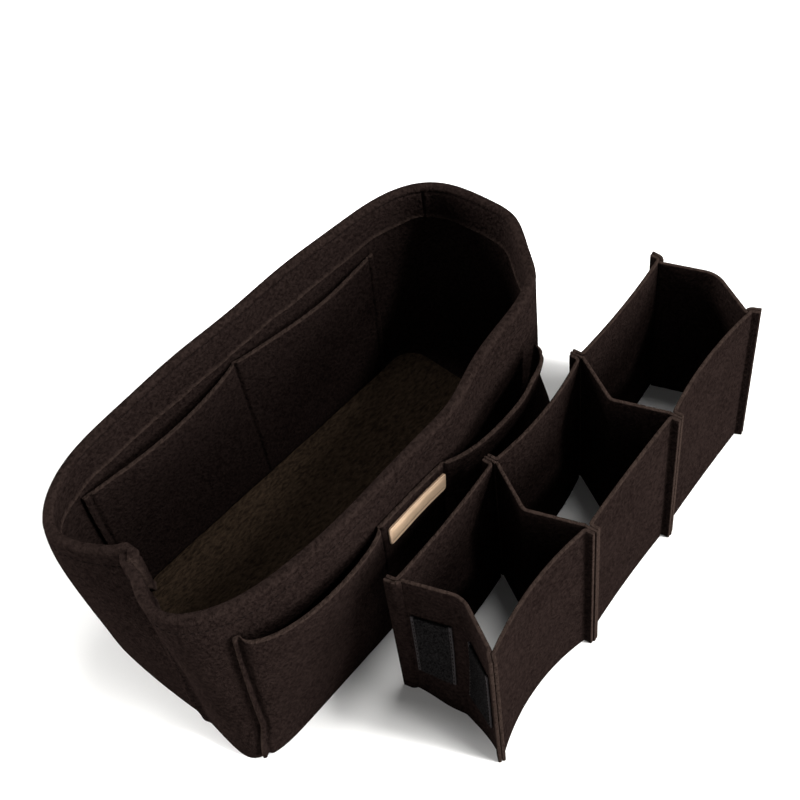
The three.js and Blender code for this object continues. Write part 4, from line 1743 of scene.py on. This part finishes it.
    def edge_layers(self, side: Side) -> list[Piece]:
        """The cross panels' sewn edges: one layer in each fin, and one on each corner flange.

        Args:
            side: The long side.

        Returns:
            The layers from the near end to the far end.
        """
        layers: list[Piece] = []
        head = self.height + self.fin_rise * self.edge_rise_share
        for panel in self.crossings:
            x = self.seams_x[panel.index]
            if 0 < panel.index < self.cells:
                y = np.linspace(-self.hinge_gap, self.felt + self.fin_run + self.fin_past, 12)
                path = PlanPath(np.stack([0 * y + x, y], -1))
                thickness = self.fin_layer * self.fin_share
            else:
                along = -1.0 if panel.index == 0 else 1.0
                angle, run = self.end_turn(panel.index, side)
                flange = turned_end(angle, self.bend, run + self.flange_past) * [along, 1.0]
                path = PlanPath(flange + [x, self.felt / 2]).offset(-along * self.felt)
                thickness = self.felt * self.flange_share
            name = f"{panel.name}_{side.label}_edge_felt"
            layers.append(self.upright(name, self.on_side(path, side), thickness, 0.0, head, side.value))
        return layers

    def leaf_line(self, panel: CrossPanel) -> tuple[Array, Array, Array]:
        """The points of a cross panel's middle line where it hinges and folds.

        Args:
            panel: The cross panel.

        Returns:
            Left hinge, crease and right hinge in the shared frame's plan.
        """
        lean = panel.lean.value
        hinge = np.array([self.seams_x[panel.index], -self.to_hinge])
        crease = np.array([lean * self.leaf * np.sin(self.fold), -self.half_span])
        across = np.array([0.0, -2 * self.half_span])
        local = [hinge, hinge + self.turned(crease, -self.skew), hinge + self.turned(across, -self.skew)]
        a, c, b = (self.world(point) for point in local)
        return a, c, b

    def cross_path(self, panel: CrossPanel) -> PlanPath:
        """A cross panel's middle line: two straight leaves joined by an arc of the crease's radius.

        Args:
            panel: The cross panel.

        Returns:
            The line from its left hinge to its right hinge, in the shared frame.
        """
        a, c, b = self.leaf_line(panel)
        into, out = unit(c - a), unit(b - c)
        bend = np.arctan2(into[0] * out[1] - into[1] * out[0], into @ out)
        length = panel.crease_radius * np.tan(abs(bend) / 2)
        turn = np.linspace(0.0, 1.0, 15)[:, None]
        normal = np.sign(bend) * np.array([-into[1], into[0]])
        angle = turn * abs(bend)
        arc = (c - into * length + panel.crease_radius
               * (np.sin(angle) * into + (1.0 - np.cos(angle)) * normal))
        reach = self.felt / 2 + self.hinge_gap * self.hinge_reach_share
        share = np.linspace(0.0, 1.0, 16)[:-1, None]
        first = a - into * reach
        last = b + out * reach
        before = first + share * (arc[0] - first)
        after = (last + share * (arc[-1] - last))[::-1]
        return PlanPath(np.concatenate([before, arc, after]))

    def cross_panel(self, panel: CrossPanel) -> Piece:
        """Builds one creased panel as a single mesh fixed in the shared frame, and hides the frame's two
        leaves.

        Args:
            panel: The cross panel.

        Returns:
            The panel's felt.
        """
        path = self.cross_path(panel)
        swell = self.near_end_swell if panel.index == 0 else None
        thickness = self.felt * self.sheet_share
        piece = self.upright(f"{panel.name}_felt", path, thickness, 0.0, self.height, 1, swell=swell)
        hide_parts(f"{panel.name}_left_leaf", f"{panel.name}_right_leaf")
        a, c, b = self.leaf_line(panel)
        half = float(np.clip(panel.crease_radius * self.blend_share, *self.blend_limits))
        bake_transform(piece)
        return piece

    def near_end_swell(self, u: Array, v: Array) -> Array:
        """How far the near end's foot stands out: a bell about the crease, which fades upwards to a power."""
        fade = np.clip(1.0 - v / self.height, 0.0, 1.0) ** self.foot_swell_fade
        return -self.foot_swell * bell(u, self.foot_swell_at, self.foot_swell_width) * fade

    def build(self) -> list[Piece]:
        """Builds both long sides, the four cross panels and the two patches.

        Returns:
            All the divider's pieces.
        """
        pieces = [piece for side in Side for piece in self.long_side(side)]
        pieces += [self.cross_panel(panel) for panel in self.crossings]
        pieces += [piece for side in Side for piece in Patch(self, side).build()]
        return pieces


@dataclass
class Patch:
    """Half of the near end's closure: looped pile on its left leaf or hooks on its right, and selvedges."""

    divider: Divider
    side: Side
    width: float = 20.0
    height: float = 50.0
    thickness: float = 1.2
    from_crease: float = 6.0
    foot: float = 22.0
    gap: float = 0.3
    band: float = 1.7
    band_share: float = 0.9
    bare_end: float = 0.4
    pile_fade: float = 0.8
    # Relief of the looped pile, of the hooks and of the woven selvedges
    loop_heights: tuple[float, float] = (0.30, 0.25)
    loop_lengths: tuple[float, float] = (1.5, 2.6)
    loop_counts: tuple[int, int] = (14, 9)
    loop_seeds: tuple[int, int] = (21, 22)
    hook_rib: float = 0.38
    hook_rib_pitch: float = 1.9
    hook_bump: float = 0.2
    hook_bump_pitch: float = 1.3
    selvedge_share: float = 0.7
    selvedge_rib: float = 0.08
    selvedge_pitch: float = 1.1
    selvedge_worn: float = 0.25
    stitch_share: float = 0.55
    stitch_points: int = 120
    worn: float = 0.4

    def __post_init__(self) -> None:
        """Finds the patch's lower hinge-side corner, the way along its leaf and the way out, in plan."""
        near_end = self.divider.crossings[0]
        left_hinge, crease, right_hinge = self.divider.leaf_line(near_end)
        hinge = left_hinge if self.side is Side.LEFT else right_hinge
        from_hinge = self.divider.leaf - self.from_crease - self.width
        self.along = unit(crease - hinge)
        self.out = -self.side.value * np.array([-self.along[1], self.along[0]])
        self.corner = hinge + self.along * from_hinge
        self.margin = self.divider.felt / 2 + self.divider.leaf - self.from_crease - self.width
        self.total = self.divider.cross_path(near_end).lengths[-1]
        self.kind = "loop" if self.side is Side.LEFT else "hook"

    def place(self, u: Array, v: Array, lift: Array) -> Array:
        """Points on the patch, which follows the near end's swell.

        Args:
            u: Distances along the leaf from the patch's hinge-side edge.
            v: Heights above the patch's foot.
            lift: Distances out of the felt.

        Returns:
            Points in millimetres.
        """
        from_left = self.margin + u if self.side is Side.LEFT else self.total - self.margin - u
        low = self.divider.felt / 2 + self.gap
        off = low + lift - self.divider.near_end_swell(from_left, self.foot + v)
        flat = self.corner + self.along * u[..., None] + self.out * off[..., None]
        return np.concatenate([flat, (self.foot + v)[..., None]], -1)

    def pile(self, u: Array, v: Array) -> Array:
        """Looped pile as two crossing fields of short waves, or hooks as rows of bumps along each rib.

        Args:
            u: Distances along the leaf.
            v: Heights above the patch's foot.

        Returns:
            How far the pile stands out past the tape's thickness.
        """
        if self.side is Side.LEFT:
            fields = zip(self.loop_heights, self.loop_lengths, self.loop_counts, self.loop_seeds)
            return sum(height * waves(u, v, length, count, seed) for height, length, count, seed in fields)
        rib = np.sin(2 * np.pi * v / self.hook_rib_pitch)
        bump = np.sin(2 * np.pi * u / self.hook_bump_pitch + np.pi * np.floor(v / self.hook_rib_pitch))
        return self.hook_rib * rib + self.hook_bump * bump * (rib > 0)

    def tape(self) -> Piece:
        """The tape with its pile, between the selvedges.

        Returns:
            The tape.
        """
        side, end = self.band * self.band_share, self.bare_end
        places = np.linspace(side, self.width - side, 46)
        levels = np.linspace(end, self.height - end, 130)

        def place(u: Array, v: Array, w: Array) -> Array:
            """The tape's back at share 1, and its pile at share 0."""
            inside = smoothstep(np.minimum(u - side, self.width - side - u), 0.0, self.pile_fade)
            ends = smoothstep(np.minimum(v - end, self.height - end - v), 0.0, self.pile_fade)
            return self.place(u, v, (1.0 - w) * (self.thickness + self.pile(u, v) * inside * ends))

        tape = felt_sheet(f"{self.kind}_tape", places, levels, self.thickness, self.worn, place)
        return dress(tape, LOOP_YARN if self.side is Side.LEFT else HOOK_YARN)

    def selvedge(self, number: int) -> Piece:
        """One of the tape's two woven edges.

        Args:
            number: 1 for the edge at the hinge, 2 for the edge at the crease.

        Returns:
            The woven edge.
        """
        start = 0.0 if number == 1 else self.width - self.band
        thickness = self.thickness * self.selvedge_share

        def place(u: Array, v: Array, w: Array) -> Array:
            """A flat woven band with fine slanting ribs."""
            rib = self.selvedge_rib * np.sin(2 * np.pi * (v + u) / self.selvedge_pitch)
            return self.place(start + u, v, (1.0 - w) * (thickness + rib))

        places, levels = np.linspace(0.0, self.band, 8), np.linspace(0.0, self.height, 160)
        name = f"{self.kind}_selvedge_{number}"
        return dress(felt_sheet(name, places, levels, thickness, self.selvedge_worn, place), SELVEDGE_YARN)

    def seams(self) -> Piece:
        """The stitches along both selvedges.

        Returns:
            One piece with all the stitches.
        """
        heights = np.linspace(1.0, self.height - 1.0, self.stitch_points)
        normals = np.repeat(np.append(self.out, 0.0)[None], self.stitch_points, 0)
        lift = np.full_like(heights, self.thickness * self.selvedge_share)
        inset = self.band * self.stitch_share
        rows = [(self.place(np.full_like(heights, u), heights, lift), normals)
                for u in (inset, self.width - inset)]
        return dress(SEWING.piece(f"{self.kind}_patch_stitches", rows), BLACK_THREAD)

    def build(self) -> list[Piece]:
        """Builds the patch, hangs it on its leaf's body and hides the frame's patch.

        Returns:
            The tape, its two selvedges and its stitches.
        """
        tape = self.tape()
        trim = [self.selvedge(1), self.selvedge(2), self.seams()]
        carry((tape, *trim), f"near_end_{self.side.label}")
        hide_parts(f"{self.kind}_patch")
        return [tape, *trim]


# Studio


@dataclass(frozen=True)
class Lamp:
    """A broad lamp far away: the way to it, how wide it looks and its strength."""

    name: str
    azimuth: float
    elevation: float
    strength: float
    spread: float = 30.0

    def towards(self) -> Array:
        """The way from the object to the lamp; azimuth 0 is the front, and 90 is the far end."""
        turn, rise = np.radians(self.azimuth), np.radians(self.elevation)
        return np.array([np.sin(turn) * np.cos(rise), -np.cos(turn) * np.cos(rise), np.sin(rise)])


@dataclass
class Studio:
    """A pale floor, soft light and the camera at the photograph's viewing angle."""

    target: tuple[float, float, float] = (76.5, 36.0, 0.0)
    azimuth: float = np.radians(-40.5)
    elevation: float = np.radians(51.8)
    roll: float = np.radians(-8.9)
    distance: float = 813.0
    focal_share: float = 1428.0 / 800.0
    sensor: float = 36.0
    clip_m: tuple[float, float] = (0.02, 100.0)
    floor_half_m: float = 40.0
    floor_colour: str = "#f4f3f1"
    sky_strength: float = 0.22
    lamps: tuple[Lamp, ...] = (
        Lamp("right_high", 26.0, 49.0, 0.72, 7.0),
        Lamp("front_low", 26.0, 20.0, 2.20, 40.0),
        Lamp("left", -55.0, 30.0, 0.08),
        Lamp("back_left", -150.0, 18.0, 2.20, 40.0),
        Lamp("overhead", 90.0, 79.0, 0.27, 12.0))

    def camera(self) -> None:
        """Sets the camera: back from the target along the viewing direction, rolled about it."""
        sa, ca = np.sin(self.azimuth), np.cos(self.azimuth)
        se, ce = np.sin(self.elevation), np.cos(self.elevation)
        back = np.array([sa * ce, -ca * ce, se])
        right = np.array([ca, sa, 0.0])
        up = np.cross(back, right)
        c, s = np.cos(self.roll), np.sin(self.roll)
        right, up = c * right + s * up, -s * right + c * up
        data = bpy.data.cameras.new("camera")
        data.sensor_width = self.sensor
        data.lens = self.sensor * self.focal_share
        data.clip_start, data.clip_end = self.clip_m
        matrix = np.eye(4)
        matrix[:3, 0], matrix[:3, 1], matrix[:3, 2] = right, up, back
        matrix[:3, 3] = (np.array(self.target) + back * self.distance) * MM
        camera = bpy.data.objects.new("camera", data)
        camera.matrix_world = Matrix(matrix.tolist())
        bpy.context.scene.collection.objects.link(camera)
        bpy.context.scene.camera = camera

    def floor(self) -> None:
        """A wide level sheet of matte paper."""
        half = self.floor_half_m
        mesh = bpy.data.meshes.new("floor")
        corners = [(-half, -half, 0), (half, -half, 0), (half, half, 0), (-half, half, 0)]
        mesh.from_pydata(corners, [], [(0, 1, 2, 3)])
        floor = bpy.data.objects.new("floor", mesh)
        bpy.context.scene.collection.objects.link(floor)
        # Matte paper, a little warmer and darker than white, so smooth that no grain shows from here.
        material, tree = blank_material("white_paper")
        shader = add_node(tree, "ShaderNodeBsdfPrincipled", {
            "Base Color": linear(self.floor_colour), "Roughness": 0.9, "Specular IOR Level": 0.1})
        add_node(tree, "ShaderNodeOutputMaterial", {"Surface": shader.outputs[0]})
        mesh.materials.append(material)

    def light(self) -> None:
        """An even surround and broad soft lamps, each turned so that it shines from its own direction."""
        world = bpy.data.worlds.new("surround")
        world.use_nodes = True
        world.node_tree.nodes.clear()
        sky = add_node(world.node_tree, "ShaderNodeBackground", {
            "Color": linear("#ffffff"), "Strength": self.sky_strength})
        add_node(world.node_tree, "ShaderNodeOutputWorld", {"Surface": sky.outputs[0]})
        bpy.context.scene.world = world
        bpy.context.scene.view_settings.view_transform = "Standard"
        for lamp in self.lamps:
            data = bpy.data.lights.new(lamp.name, "SUN")
            data.angle, data.energy = np.radians(lamp.spread), lamp.strength * np.pi
            light = bpy.data.objects.new(lamp.name, data)
            light.rotation_euler = Vector(lamp.towards().tolist()).to_track_quat("Z", "Y").to_euler()
            bpy.context.scene.collection.objects.link(light)

    def build(self) -> None:
        """Sets the camera, floor and lights."""
        self.camera()
        self.floor()
        self.light()


def main() -> None:
    """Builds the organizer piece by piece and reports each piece."""
    logging.basicConfig(level=logging.INFO, format="%(name)s: %(message)s")
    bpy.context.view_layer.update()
    Studio().build()
    course = TubCourse()
    shell = TubShell(course)
    pieces = [*shell.build(), *InnerPockets(shell).build(), *FrontPockets(shell).build(),
              *BaseBoard(shell).build(), *Divider(course.floor_width).build()]
    for piece in pieces:
        log.info("%s: %d faces", piece.name, len(piece.data.polygons))
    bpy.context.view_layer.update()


if __name__ == "__main__":
    main()
